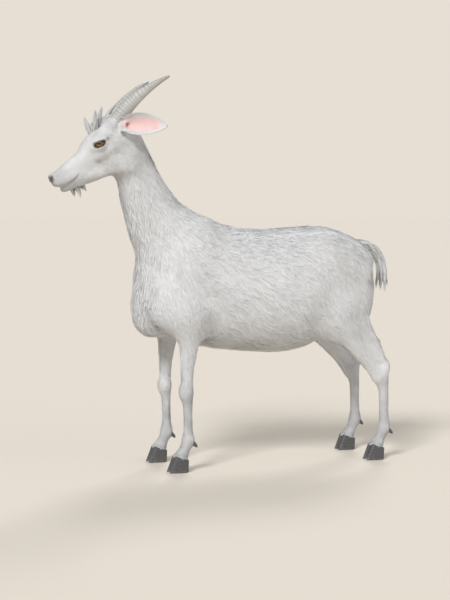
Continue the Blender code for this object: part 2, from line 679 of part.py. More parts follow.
NECK_CUT = dict(point=(0, -0.268, 0.596), direction=(0, -0.815, 0.579), size=(0.60, 0.80, 0.80))
HEAD_CUT = dict(point=(0, -0.355, 0.895), direction=(0, -0.884, 0.468), size=(0.50, 0.50, 0.42))
TAIL_CUT = dict(point=(0, 0.391, 0.560), direction=(0, 1, 0), size=(0.072, 0.24, 0.20))
FORE_LEG_CUT = dict(point=(0.122, -0.225, 0.402), direction=(0, 0.14, -0.99), size=(0.160, 0.215, 0.46))
HIND_LEG_CUT = dict(point=(0.128, 0.330, 0.418), direction=(0, 0.12, -0.99), size=(0.176, 0.340, 0.46))


def leg_cut(cut_place, side, step):
    x, y, z = cut_place["point"]
    return dict(cut_place, point=(side * x, y + step, z))


def foot_cut(foot, side, step):
    """Region under the sloping coronet, where the hooves stand."""
    slope = math.radians(CORONET_SLOPE)
    fall = CLAW_TOE * math.tan(slope)
    return dict(point=(side * foot[0], foot[1] + step, CORONET_FRONT - fall),
                direction=(0, -math.sin(slope), -math.cos(slope)), size=(0.09, 0.12, 0.09))


# ---------------------------------------------------------------- assembly

def build_goat():
    goat, cutters = collection("goat"), collection("cutters")
    coat = material("coat", (0.60, 0.59, 0.575), 0.85)
    horn = material("horn", (0.50, 0.49, 0.47), 0.55)
    hoof = material("hoof", (0.075, 0.075, 0.080), 0.50)
    eye = material("eye", (0.28, 0.17, 0.05), 0.10)

    def region(name, cut_place, grow):
        return place(name, region_mesh(name, grow=grow, **cut_place), cutters)

    def pocket(name, mesh):
        return place(name + "_pocket", mesh, cutters)

    form = body_form()
    body = thinned(polygonise(form, COARSE), BODY_FACES, "body")
    past_the_cut = Vector(HEAD_CUT["point"]) - Vector(HEAD_CUT["direction"]).normalized() * 0.02
    head_part = Behind(form, past_the_cut, -Vector(HEAD_CUT["direction"]).normalized())
    head_part.low = np.array((-0.08, -0.63, 0.76))
    head_part.high = np.array((0.08, -0.26, 1.02))
    face = thinned(polygonise(head_part, FINE), HEAD_FACES, "head")

    # Flesh: each node is the body inside its own region and outside the next one's.
    trunk = place("trunk", body.copy(), goat, coat)
    neck = place("neck", body.copy(), goat, coat)
    tail = place("tail", body.copy(), goat, coat)
    head = place("head", face, goat, coat)
    cut(neck, region("neck_region", NECK_CUT, 0.0), "INTERSECT")
    cut(neck, region("head_region_wide", HEAD_CUT, GAP), "DIFFERENCE")
    cut(head, region("head_region", HEAD_CUT, 0.0), "INTERSECT")
    cut(tail, region("tail_region", TAIL_CUT, 0.0), "INTERSECT")
    cut(trunk, region("neck_region_wide", NECK_CUT, GAP), "DIFFERENCE")
    cut(trunk, region("tail_region_wide", TAIL_CUT, GAP), "DIFFERENCE")

    for side, word, step in ((LEFT, "left", 0.0), (RIGHT, "right", FAR_SIDE_STEP)):
        for pair, leg_place, foot, fetlock in (("fore", FORE_LEG_CUT, FORE_FOOT, FORE_FETLOCK),
                                               ("hind", HIND_LEG_CUT, HIND_FOOT, HIND_FETLOCK)):
            limb = f"{pair}_{word}"
            own = leg_cut(leg_place, side, step)
            leg = place("leg_" + limb, body.copy(), goat, coat)
            cut(leg, region(f"leg_{limb}_region", own, 0.0), "INTERSECT")
            cut(trunk, region(f"leg_{limb}_region_wide", own, GAP), "DIFFERENCE")
            cut(leg, region(f"foot_{limb}_region", foot_cut(foot, side, step), 0.0), "DIFFERENCE")
            for half_of_foot in (LEFT, RIGHT):
                which = "outer" if half_of_foot == side else "inner"
                name = f"hoof_{limb}_{which}"
                place(name, claw_mesh(name, foot, side, step, half_of_foot), goat, hoof)
                name = f"dewclaw_{limb}_{which}"
                place(name, dewclaw_mesh(name, fetlock, side, step, half_of_foot, 0.0), goat, hoof)
                cut(leg, pocket(name, dewclaw_mesh(name, fetlock, side, step, half_of_foot, GAP)),
                    "DIFFERENCE")

        for kind, maker, dress in (("eye", eye_mesh, eye), ("horn", horn_mesh, horn),
                                   ("ear", ear_mesh, coat)):
            name = f"{kind}_{word}"
            place(name, maker(name, side, 0.0), goat, dress)
            cut(head, pocket(name, maker(name, side, GAP)), "DIFFERENCE")

    hair = {}
    for name, form, faces in (("forelock", forelock_form(), LOCK_FACES),
                              ("beard", beard_form(), BEARD_FACES)):
        mesh = thinned(polygonise(form, LOCK_STEP), faces, name)
        hair[name] = place(name, mesh, goat, coat)
        cut(head, pocket(name, swollen(mesh, name, GAP)), "DIFFERENCE")
    for word in ("left", "right"):
        cut(hair["forelock"], cutters.objects[f"horn_{word}_pocket"], "DIFFERENCE")


for old in list(bpy.data.objects):
    bpy.data.objects.remove(old, do_unlink=True)
build_goat()
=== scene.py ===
"""A domestic goat, adult, life size and still: skin, coat, eyes, horns and hooves.

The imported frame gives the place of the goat. One skin stands for every node of flesh and lies
inside those solids by the coat's depth. The skin is the zero surface of named masses that melt
into each other. Over it lies the coat: solid tufts, rooted in the skin, combed along strokes.
Plan coordinates: metres, +Z up, the goat faces -Y and its left side is +X.
"""

import logging
import math
from collections import defaultdict
from contextlib import contextmanager
from dataclasses import dataclass, field
from enum import Enum
from typing import Callable, Iterable, Iterator, Protocol, Sequence

import bmesh
import bpy
import numpy as np
import openvdb
from bpy.types import Material, Mesh, NodeSocket, NodeTree, Object
from mathutils import Matrix, Vector
from mathutils.bvhtree import BVHTree


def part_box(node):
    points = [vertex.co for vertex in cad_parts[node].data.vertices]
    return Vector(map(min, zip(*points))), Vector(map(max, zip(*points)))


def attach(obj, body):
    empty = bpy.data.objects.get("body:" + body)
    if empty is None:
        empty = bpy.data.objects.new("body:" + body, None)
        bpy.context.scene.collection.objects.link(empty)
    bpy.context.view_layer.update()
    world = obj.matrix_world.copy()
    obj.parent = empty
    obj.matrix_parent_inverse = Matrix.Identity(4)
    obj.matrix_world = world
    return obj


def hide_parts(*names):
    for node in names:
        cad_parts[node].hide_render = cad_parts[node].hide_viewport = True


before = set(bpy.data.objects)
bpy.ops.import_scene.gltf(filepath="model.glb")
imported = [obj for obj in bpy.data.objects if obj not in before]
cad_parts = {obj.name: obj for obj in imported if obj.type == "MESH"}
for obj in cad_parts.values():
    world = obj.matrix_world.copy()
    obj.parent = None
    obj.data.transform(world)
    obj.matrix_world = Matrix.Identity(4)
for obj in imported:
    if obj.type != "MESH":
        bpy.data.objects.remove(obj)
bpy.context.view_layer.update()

logging.basicConfig(level=logging.INFO, format="%(message)s")
log = logging.getLogger("goat")

Array = np.ndarray
Row = tuple[float, ...]
Sockets = dict[str, NodeSocket]
FIELD_REACH = 0.08              # a mass is worked out only this near to its box, in metres
RIGHT_STEP = -0.008             # the right legs stand this much further forward
HEAD_SPACE = ((-0.155, -0.655, 0.730), (0.155, -0.165, 1.025))  # corners of a box round the head


class Side(Enum):
    """Which side of the goat, as the sign of X."""

    LEFT = 1
    RIGHT = -1

    @property
    def word(self) -> str:
        """The side's name in lower case."""
        return self.name.lower()

    @property
    def step(self) -> float:
        """How far this side's legs stand back."""
        return RIGHT_STEP if self is Side.RIGHT else 0.0


class Pair(Enum):
    """Which pair of legs."""

    FORE = "fore"
    HIND = "hind"


# ---- masses as distance functions


def unit(rows: Array) -> Array:
    """Rows scaled to a length of one."""
    return rows / np.maximum(np.linalg.norm(rows, axis=-1, keepdims=True), 1e-9)


def melt(a: Array, b: Array, width: float) -> Array:
    """Join two distances with a fillet.

    Args:
        a: First distances.
        b: Second distances.
        width: About how wide the fillet is.

    Returns:
        Their smooth minimum.
    """
    if width <= 0.0:
        return np.minimum(a, b)
    overlap = np.maximum(width - np.abs(a - b), 0.0) / width
    return np.minimum(a, b) - overlap * overlap * (width * 0.25)


def curve_through(rows: Sequence[Vector | Row], steps: int) -> Array:
    """Run a Catmull-Rom curve through rows of numbers.

    Args:
        rows: Stations, each a row of numbers.
        steps: Steps in each span.

    Returns:
        The rows along the curve.
    """
    points = np.array(rows, float)
    ends = np.vstack([2 * points[0] - points[1], points, 2 * points[-1] - points[-2]])
    found = []
    for a, b, c, d in zip(ends[:-3], ends[1:-2], ends[2:-1], ends[3:]):
        for t in np.linspace(0.0, 1.0, steps, endpoint=False):
            found.append(0.5 * (2 * b + (c - a) * t + (2 * a - 5 * b + 4 * c - d) * t ** 2
                                + (3 * b - a - 3 * c + d) * t ** 3))
    return np.array(found + [points[-1]])


class Mass(Protocol):
    """A shape that gives its distance from points and the box that holds it."""

    low: Array
    high: Array

    def distance(self, points: Array) -> Array:
        """Signed distance of each point, negative inside."""


def beside(points: Array, mass: Mass, margin: float = 0.0) -> Array:
    """Which points lie in a mass's box, widened by a margin."""
    return np.all((points > mass.low - margin) & (points < mass.high + margin), axis=1)


class Ellipsoid:
    """A rounded muscle or bone end."""

    def __init__(self, centre: Sequence[float], radii: Row, pitch: float = 0.0, roll: float = 0.0) -> None:
        """Place it.

        Args:
            centre: Middle point.
            radii: Half sizes along its own X, Y and Z.
            pitch: Turn about X in degrees.
            roll: Turn about Y in degrees, made first.
        """
        turn = Matrix.Rotation(math.radians(pitch), 3, "X") @ Matrix.Rotation(math.radians(roll), 3, "Y")
        self.centre = np.array(centre, float)
        self.radii = np.array(radii, float)
        self.turn = np.array(turn)
        reach = np.sqrt(((self.turn * self.radii) ** 2).sum(1))
        self.low, self.high = self.centre - reach, self.centre + reach

    def distance(self, points: Array) -> Array:
        """Measure from points to the surface.

        Args:
            points: Where to measure.

        Returns:
            Signed distances, negative inside.
        """
        local = (points - self.centre) @ self.turn
        k0 = np.sqrt(((local / self.radii) ** 2).sum(1))
        k1 = np.sqrt(((local / self.radii ** 2) ** 2).sum(1))
        return k0 * (k0 - 1.0) / np.maximum(k1, 1e-6)


class Limb:
    """A tapering limb through stations of x, y, z, half width across X and half depth."""

    def __init__(self, stations: Sequence[Row], steps: int = 6) -> None:
        """Lay the limb.

        Args:
            stations: Rows from its start to its end.
            steps: Steps in each span.
        """
        self.rows = curve_through(stations, steps)
        reach = np.maximum(self.rows[:, 3], self.rows[:, 4])[:, None]
        self.low = (self.rows[:, :3] - reach).min(0)
        self.high = (self.rows[:, :3] + reach).max(0)

    def distance(self, points: Array) -> Array:
        """Measure from points to the surface.

        Args:
            points: Where to measure.

        Returns:
            Signed distances, negative inside.
        """
        nearest, across, width, depth = (np.full(len(points), start) for start in (1e9, 0.0, 1.0, 1.0))
        for start, end in zip(self.rows[:-1], self.rows[1:]):
            span = end[:3] - start[:3]
            t = np.clip((points - start[:3]) @ span / max(span @ span, 1e-12), 0.0, 1.0)
            off = points - (start[:3] + t[:, None] * span)
            square = (off * off).sum(1)
            closer = square < nearest
            half = start[3:] + t[:, None] * (end[3:] - start[3:])
            for kept, new in zip((nearest, across, width, depth), (square, off[:, 0] ** 2, *half.T)):
                kept[closer] = new[closer]
        rest = np.maximum(nearest - across, 0.0)
        k0 = np.sqrt(across / width ** 2 + rest / depth ** 2)
        k1 = np.sqrt(across / width ** 4 + rest / depth ** 4)
        return np.where(k1 < 1e-6, -np.minimum(width, depth), k0 * (k0 - 1.0) / np.maximum(k1, 1e-6))


class Hull:
    """A long body through stations of place, top, bottom, half width, height of the widest
    place as a share of the depth, and the squareness above and below it."""

    def __init__(self, stations: Sequence[Row], origin: Sequence[float], forward: Sequence[float],
                 up: Sequence[float], end_round: float) -> None:
        """Lay the hull along its axis.

        Args:
            stations: Rows from its start to its end.
            origin: Where place and height are zero.
            forward: Direction of place.
            up: Direction of height.
            end_round: How round its ends are.
        """
        self.rows = curve_through(stations, 8)
        self.origin = np.array(origin, float)
        self.forward = np.array(forward, float)
        self.up = np.array(up, float)
        self.end_round = end_round
        self.side = np.cross(self.up, self.forward)
        corners = [self.origin + self.forward * row[0] + self.up * height + self.side * side.value * row[3]
                   for row in self.rows for height in row[1:3] for side in Side]
        self.low, self.high = np.min(corners, axis=0), np.max(corners, axis=0)

    def distance(self, points: Array) -> Array:
        """Measure from points to the surface.

        Args:
            points: Where to measure.

        Returns:
            Signed distances, negative inside.
        """
        local = points - self.origin
        place = local @ self.forward
        top, bottom, half, share, above, below = (
            np.interp(place, self.rows[:, 0], self.rows[:, column]) for column in range(1, 7))
        middle = bottom + share * (top - bottom)
        height = local @ self.up - middle
        depth = np.maximum(np.where(height > 0, top - middle, middle - bottom), 1e-4)
        power = np.where(height > 0, above, below)
        half = np.maximum(half, 1e-4)
        x = np.abs(local @ self.side) / half + 1e-6
        z = np.abs(height) / depth + 1e-6
        size = (x ** power + z ** power) ** (1.0 / power)
        steep = np.sqrt((x ** (power - 1) / half) ** 2 + (z ** (power - 1) / depth) ** 2)
        found = (size - 1.0) / (size ** (1.0 - power) * steep)
        found = -melt(-found, self.rows[-1, 0] - place, self.end_round)
        return -melt(-found, place - self.rows[0, 0], self.end_round)


@dataclass
class EarShape:
    """The cupped leaf of one ear: where each point of it lies and how thick it is."""

    side: Side
    root: Vector
    length: float = 0.130
    half_width: float = 0.031
    thickness: float = 0.0032
    droop: float = 0.012
    way: Vector = field(init=False)
    face: Vector = field(init=False)
    wide: Vector = field(init=False)

    def __post_init__(self) -> None:
        """Work out the ear's own axes and its box."""
        sign = self.side.value
        self.way = Vector((sign * 0.62, 0.74, 0.08)).normalized()
        face = Vector((sign * 0.70, -0.70, 0.12))
        self.face = (face - self.way * face.dot(self.way)).normalized()
        self.wide = self.way.cross(self.face)
        ends = np.array([self.root, self.root + self.way * self.length])
        self.low = ends.min(0) - self.half_width * 1.2
        self.high = ends.max(0) + self.half_width * 1.2

    def local(self, points: Array) -> tuple[Array, Array, Array]:
        """Find points on the leaf.

        Args:
            points: World points in plan coordinates.

        Returns:
            Share of the length, place across in metres, and height over the cupped sheet on
            its hollow side.
        """
        off = points - np.array(self.root)
        share = off @ np.array(self.way) / self.length
        inside = np.clip(share, 0.0, 1.0)
        off = off + np.array((0.0, 0.0, self.droop)) * (inside ** 2)[:, None]
        across = off @ np.array(self.wide)
        half = self.half(inside)
        ratio = np.clip(across / half, -1.3, 1.3)
        cup = (0.55 * half * (1 - 0.6 * inside) + 0.012 * (1 - inside) ** 2) * ratio ** 2
        return share, across, off @ np.array(self.face) - (cup - 0.004)

    def half(self, share: Array) -> Array:
        """Half width of the leaf at each share of its length."""
        leaf = self.half_width * np.sin(np.pi * np.clip(share, 0.0, 1.0) ** 0.78) ** 0.62
        return np.maximum(leaf, 0.016 * (1 - share) + 0.004)

    def distance(self, points: Array) -> Array:
        """Measure from points to the surface.

        Args:
            points: Where to measure.

        Returns:
            Signed distances, negative inside.
        """
        share, across, height = self.local(points)
        inside = np.clip(share, 0.0, 1.0)
        half = self.half(inside)
        ratio = np.clip(across / half, -1.2, 1.2)
        steep = 2 * (0.55 * (1 - 0.6 * inside) + 0.012 / half * (1 - inside) ** 2) * ratio
        sheet = np.abs(height) / np.sqrt(1 + steep ** 2)
        inset = self.thickness * 0.4
        past_edge = np.maximum(np.abs(across) - (half - inset), 0.0)
        past_end = np.maximum(np.maximum(share - 0.985, -share) * self.length, 0.0)
        rim = np.hypot(past_edge, past_end)
        return np.hypot(sheet, rim) - self.thickness / 2


class LidOpening:
    """The almond between the eyelids, seen along the eye's gaze."""

    def __init__(self, eye: "EyePlace") -> None:
        """Place the opening.

        Args:
            eye: The eye that it shows.
        """
        self.centre = np.array(eye.centre)
        self.axes = np.array([eye.along, eye.gaze.cross(eye.along), eye.gaze]).T
        self.size = eye.opening
        if self.axes[2, 1] < 0:
            self.axes[:, 1] *= -1
        self.low, self.high = self.centre - 0.03, self.centre + 0.03

    def distance(self, points: Array) -> Array:
        """Measure from points to the surface.

        Args:
            points: Where to measure.

        Returns:
            Signed distances, negative inside.
        """
        local = (points - self.centre) @ self.axes
        half, upper, lower = self.size
        height = np.where(local[:, 1] > 0, upper, lower)
        power = np.where(local[:, 1] > 0, 3.4, 2.0)
        x = np.abs(local[:, 0]) / half
        y = np.abs(local[:, 1]) / height
        size = (x ** power + y ** power + 1e-9) ** (1.0 / power)
        ring = (size - 1.0) * np.minimum(half, height)
        return np.maximum(ring, -local[:, 2])


class Form:
    """Masses melted together in order; a carved mass is a groove instead."""

    def __init__(self) -> None:
        """Start with no masses."""
        self.masses: list[tuple[Mass, float, bool]] = []

    def add(self, mass: Mass, width: float = 0.0) -> None:
        """Melt a mass into the form with a fillet of this width."""
        self.masses.append((mass, width, False))

    def carve(self, mass: Mass, width: float) -> None:
        """Cut a mass out of the form with edges rounded by this width."""
        self.masses.append((mass, width, True))

    @property
    def low(self) -> Array:
        """Lowest corner of the form's box."""
        return np.min([mass.low for mass, _, carved in self.masses if not carved], axis=0)

    @property
    def high(self) -> Array:
        """Highest corner of the form's box."""
        return np.max([mass.high for mass, _, carved in self.masses if not carved], axis=0)

    def distance(self, points: Array) -> Array:
        """Measure from points to the melted surface.

        Args:
            points: Where to measure.

        Returns:
            Signed distances, negative inside, capped at FIELD_REACH.
        """
        found = np.full(len(points), FIELD_REACH)
        for mass, width, carved in self.masses:
            near = beside(points, mass, FIELD_REACH)
            if near.any():
                sign = -1 if carved else 1
                found[near] = sign * melt(sign * found[near], mass.distance(points[near]), width)
        return found


# ---- the goat's masses


@dataclass(frozen=True)
class HeadAxes:
    """The head's own axes: along the face to the nose, above it, and to the left."""

    poll: Vector = Vector((0.0, -0.385, 0.985))
    tilt: float = 36.0

    @property
    def along(self) -> Vector:
        """Direction from the poll to the nose."""
        return Vector((0.0, -math.cos(math.radians(self.tilt)), -math.sin(math.radians(self.tilt))))

    @property
    def above(self) -> Vector:
        """Direction up out of the face."""
        return Vector((0.0, -math.sin(math.radians(self.tilt)), math.cos(math.radians(self.tilt))))

    def at(self, along: float, above: float, aside: float = 0.0) -> Vector:
        """Point from distances along the face, above its axis and to the left."""
        point = self.poll + self.along * along + self.above * above
        return Vector((aside, point.y, point.z))

    def local(self, points: Array) -> tuple[Array, Array]:
        """Each point's place along the face and above its axis."""
        off = points - np.array(self.poll)
        return off @ np.array(self.along), off @ np.array(self.above)


HEAD = HeadAxes()


@dataclass
class EyePlace:
    """Where one eye sits, where it looks and how its lids open: half length, height, depth."""

    side: Side
    radius: float = 0.0145
    lid: float = 0.0030
    opening: Row = (0.0150, 0.0054, 0.0088)
    centre: Vector = field(init=False)
    gaze: Vector = field(init=False)
    along: Vector = field(init=False)

    def __post_init__(self) -> None:
        """Work out the eye's centre and axes."""
        sign = self.side.value
        self.centre = HEAD.at(0.090, -0.033, 0.0490 * sign)
        self.gaze = Vector((0.93 * sign, -0.33, 0.08)).normalized()
        slope = math.radians(20.0)
        front = Vector((0.0, -math.cos(slope), -math.sin(slope)))
        self.along = (front - self.gaze * front.dot(self.gaze)).normalized()

    def away(self, points: Array) -> Array:
        """Distance of each point from the eye's centre."""
        return np.linalg.norm(points - np.array(self.centre), axis=1)


@dataclass
class Trunk:
    """Barrel, withers, spine and brisket."""

    barrel: tuple[Row, ...] = (
        (-0.335, 0.545, 0.470, 0.030, 0.50, 2.0, 2.0),
        (-0.310, 0.585, 0.425, 0.056, 0.50, 2.0, 2.0),
        (-0.265, 0.635, 0.388, 0.080, 0.48, 2.0, 2.1),
        (-0.200, 0.682, 0.354, 0.098, 0.46, 1.9, 2.1),
        (-0.110, 0.684, 0.334, 0.118, 0.45, 1.85, 2.1),
        (-0.010, 0.670, 0.322, 0.135, 0.44, 1.8, 2.15),
        (0.080, 0.667, 0.316, 0.144, 0.43, 1.8, 2.2),
        (0.160, 0.672, 0.324, 0.138, 0.46, 1.8, 2.2),
        (0.230, 0.674, 0.352, 0.112, 0.56, 1.9, 2.1),
        (0.290, 0.660, 0.405, 0.088, 0.64, 2.0, 2.0),
        (0.335, 0.640, 0.465, 0.070, 0.64, 2.0, 2.0),
        (0.375, 0.610, 0.525, 0.048, 0.60, 2.0, 2.0),
    )
    spine: tuple[Row, ...] = (
        (0, -0.10, 0.666, 0.014, 0.014), (0, 0.02, 0.658, 0.013, 0.013), (0, 0.14, 0.663, 0.014, 0.014),
        (0, 0.25, 0.662, 0.014, 0.014), (0, 0.33, 0.634, 0.013, 0.013))

    def masses(self, form: Form) -> None:
        """Add the trunk's masses to a form.

        Args:
            form: What they melt into.
        """
        form.add(Hull(self.barrel, (0, 0, 0), forward=(0, 1, 0), up=(0, 0, 1), end_round=0.04))
        form.add(Ellipsoid((0, -0.170, 0.648), (0.028, 0.085, 0.052), pitch=-6), 0.06)  # withers
        form.add(Limb(self.spine), 0.035)
        form.add(Ellipsoid((0, -0.285, 0.425), (0.045, 0.050, 0.055), pitch=30), 0.06)  # brisket


@dataclass
class Neck:
    """The neck, from inside the shoulders to behind the jaw."""

    base: Vector = field(default_factory=lambda: Vector((0, -0.120, 0.560)))
    top: Vector = field(default_factory=lambda: Vector((0, -0.372, 0.945)))
    stations: tuple[Row, ...] = (
        (-0.060, 0.105, -0.070, 0.060, 0.50, 2.0, 2.0),
        (0.000, 0.112, -0.112, 0.074, 0.50, 2.0, 2.0),
        (0.087, 0.0765, -0.150, 0.072, 0.48, 1.9, 2.0),
        (0.187, 0.0464, -0.140, 0.058, 0.47, 1.9, 2.0),
        (0.275, 0.0377, -0.112, 0.049, 0.46, 1.9, 2.0),
        (0.352, 0.0430, -0.080, 0.045, 0.46, 1.9, 2.0),
        (0.415, 0.0500, -0.0605, 0.043, 0.46, 2.0, 2.0),
        (0.470, 0.0430, -0.0500, 0.038, 0.50, 2.0, 2.0),
    )

    @property
    def axis(self) -> Vector:
        """Direction from the base to the top."""
        return (self.top - self.base).normalized()

    def masses(self, form: Form) -> None:
        """Melt the neck into a form."""
        up = Vector((0, self.axis.z, -self.axis.y))
        form.add(Hull(self.stations, self.base, self.axis, up, end_round=0.04), 0.06)


@dataclass
class Skull:
    """Head with its jaw, cheeks, lips and nostrils."""

    muzzle: tuple[Row, ...] = (
        (0.060, -0.010, -0.100, 0.044, 0.62, 2.4, 2.0),
        (0.100, -0.012, -0.100, 0.042, 0.62, 2.5, 2.0),
        (0.135, -0.017, -0.092, 0.036, 0.58, 2.6, 2.1),
        (0.170, -0.020, -0.082, 0.030, 0.52, 2.6, 2.2),
        (0.205, -0.022, -0.074, 0.027, 0.50, 2.5, 2.2),
        (0.232, -0.026, -0.070, 0.025, 0.50, 2.3, 2.2),
        (0.250, -0.036, -0.064, 0.019, 0.50, 2.2, 2.2),
    )

    def ball(self, form: Form, place: Row, radii: Row, width: float, tilt: float = 0.0) -> None:
        """Add a rounded mass in head coordinates, on both sides if it stands aside.

        Args:
            form: What it melts into.
            place: Along the face, above it and aside.
            radii: Its half sizes.
            width: Width of the fillet.
            tilt: Turn about X in degrees, past the head's own.
        """
        along, above, aside = place
        for side in Side if aside else (Side.LEFT,):
            centre = HEAD.at(along, above, side.value * aside)
            form.add(Ellipsoid(centre, radii, pitch=HEAD.tilt + tilt), width)

    def strip(self, form: Form, places: Sequence[Row], width: float, carved: bool = False) -> None:
        """Add or carve a strip on both sides.

        Args:
            form: What it joins or cuts.
            places: Along the face, above it, aside, half width and half depth.
            width: Width of the fillet.
            carved: Whether it is cut out.
        """
        for side in Side:
            limb = Limb([(*HEAD.at(along, above, side.value * aside), half, depth)
                         for along, above, aside, half, depth in places])
            (form.carve if carved else form.add)(limb, width)

    def masses(self, form: Form) -> None:
        """Add the head's masses to a form.

        Args:
            form: What they melt into.
        """
        self.ball(form, (0.036, -0.044, 0), (0.045, 0.058, 0.046), 0.0)  # braincase
        self.ball(form, (0.078, -0.030, 0), (0.050, 0.056, 0.032), 0.020)  # forehead
        form.add(Hull(self.muzzle, HEAD.poll, HEAD.along, HEAD.above, end_round=0.014), 0.022)
        self.strip(form, [(0.028, -0.092, 0.032, 0.013, 0.018), (0.052, -0.116, 0.031, 0.014, 0.018),
                          (0.105, -0.104, 0.024, 0.014, 0.017), (0.160, -0.086, 0.015, 0.012, 0.013),
                          (0.215, -0.076, 0.008, 0.010, 0.010)], 0.022)  # jaw bones
        self.ball(form, (0.066, -0.082, 0.035), (0.016, 0.042, 0.040), 0.022, 20)  # chewing muscle
        self.ball(form, (0.088, -0.032, 0.044), (0.0145, 0.028, 0.022), 0.014)  # eye rim
        self.strip(form, [(0.112, -0.056, 0.038, 0.007, 0.008), (0.085, -0.058, 0.046, 0.008, 0.009),
                          (0.045, -0.055, 0.046, 0.008, 0.010), (0.015, -0.050, 0.040, 0.008, 0.010)],
                   0.016)  # cheekbone
        self.ball(form, (0.022, -0.008, 0.026), (0.023, 0.024, 0.018), 0.020)  # horn boss
        self.ball(form, (0.238, -0.036, 0.012), (0.0115, 0.014, 0.013), 0.010, -10)  # nostril wing
        self.ball(form, (0.222, -0.056, 0.014), (0.014, 0.026, 0.012), 0.012, -4)  # upper lip
        self.ball(form, (0.196, -0.064, 0.018), (0.011, 0.030, 0.012), 0.014, -10)  # cheek pad
        self.ball(form, (0.224, -0.079, 0), (0.0165, 0.020, 0.0105), 0.008, -4)  # chin
        self.ball(form, (0.130, -0.100, 0), (0.020, 0.075, 0.014), 0.020, -12)  # under the jaw

    def grooves(self, form: Form) -> None:
        """Carve the mouth line, the nostrils and the groove of the upper lip.

        Args:
            form: What they are cut from.
        """
        for places, width in (
                (((0.252, -0.068, 0, 0.0022, 0.0022), (0.246, -0.07, 0.012, 0.0022, 0.0022),  # mouth
                  (0.226, -0.0715, 0.0245, 0.0022, 0.0024), (0.2, -0.0715, 0.029, 0.002, 0.0024),
                  (0.178, -0.066, 0.0325, 0.002, 0.0022), (0.168, -0.06, 0.035, 0.001, 0.0012)), 0.004),
                (((0.256, -0.041, 0.006, 0.002, 0.0026), (0.252, -0.036, 0.011, 0.0032, 0.0036),  # nostril
                  (0.244, -0.03, 0.0175, 0.0024, 0.003), (0.233, -0.028, 0.023, 0.001, 0.0014)), 0.0022),
                (((0.252, -0.037, 0.0105, 0.003, 0.0032), (0.244, -0.039, 0.0095, 0.003, 0.003),  # hollow
                  (0.234, -0.041, 0.008, 0.0022, 0.0022)), 0.0016),
                (((0.262, -0.044, 0, 0.0026, 0.0026), (0.256, -0.06, 0, 0.0022, 0.0022),  # upper lip
                  (0.252, -0.068, 0, 0.0018, 0.0018)), 0.005)):
            self.strip(form, places, width, carved=True)


@dataclass
class Leg:
    """The flesh of one leg, with ways to add to it on its own side."""

    side: Side
    flesh: Form = field(default_factory=Form)

    def ball(self, place: Row, radii: Row, width: float, pitch: float = 0.0, roll: float = 0.0) -> None:
        """Add a rounded mass.

        Args:
            place: Its middle on the left leg.
            radii: Its half sizes.
            width: Width of the fillet.
            pitch: Turn about X in degrees.
            roll: Turn about Y in degrees.
        """
        x, y, z = place
        sign = self.side.value
        self.flesh.add(Ellipsoid((sign * x, y + self.side.step, z), radii, pitch, sign * roll), width)

    def limb(self, stations: Sequence[Row], width: float) -> None:
        """Add a tapering limb."""
        sign, step = self.side.value, self.side.step
        self.flesh.add(Limb([(sign * x, y + step, *rest) for x, y, *rest in stations]), width)

    def masses(self, form: Form) -> None:
        """Melt the leg into a form."""
        self.grow()
        form.add(self.flesh, 0.035)

    def grow(self) -> None:
        """Add the leg's own masses to its flesh."""
        raise NotImplementedError


@dataclass
class ForeLeg(Leg):
    """One fore leg, from the shoulder blade to the pastern."""

    def grow(self) -> None:
        """Add the leg's own masses to its flesh, from the top down."""
        self.ball((0.060, -0.185, 0.570), (0.034, 0.060, 0.125), 0.0, -22, -8)  # shoulder blade
        self.ball((0.074, -0.262, 0.470), (0.034, 0.048, 0.062), 0.05, -25)  # point of shoulder
        self.ball((0.078, -0.200, 0.440), (0.034, 0.066, 0.062), 0.05, 20)  # upper arm
        self.limb([(0.084, -0.200, 0.430, 0.036, 0.052), (0.086, -0.196, 0.375, 0.029, 0.038),
                   (0.087, -0.200, 0.325, 0.0225, 0.028), (0.087, -0.203, 0.275, 0.0180, 0.0210),
                   (0.087, -0.204, 0.235, 0.0175, 0.0185)], 0.04)  # forearm
        self.ball((0.084, -0.160, 0.392), (0.016, 0.020, 0.030), 0.02, -10)  # elbow
        self.ball((0.087, -0.208, 0.222), (0.0205, 0.0205, 0.027), 0.012)  # knee
        self.limb([(0.087, -0.203, 0.215, 0.0170, 0.0185), (0.087, -0.201, 0.175, 0.0135, 0.0155),
                   (0.087, -0.200, 0.130, 0.0130, 0.0150), (0.087, -0.200, 0.100, 0.0145, 0.0165)],
                  0.012)  # cannon
        self.ball((0.087, -0.199, 0.085), (0.0195, 0.0195, 0.021), 0.012)  # fetlock
        self.limb([(0.087, -0.202, 0.080, 0.0170, 0.0165), (0.087, -0.211, 0.062, 0.0180, 0.0170),
                   (0.087, -0.219, 0.046, 0.0225, 0.0215)], 0.010)  # pastern


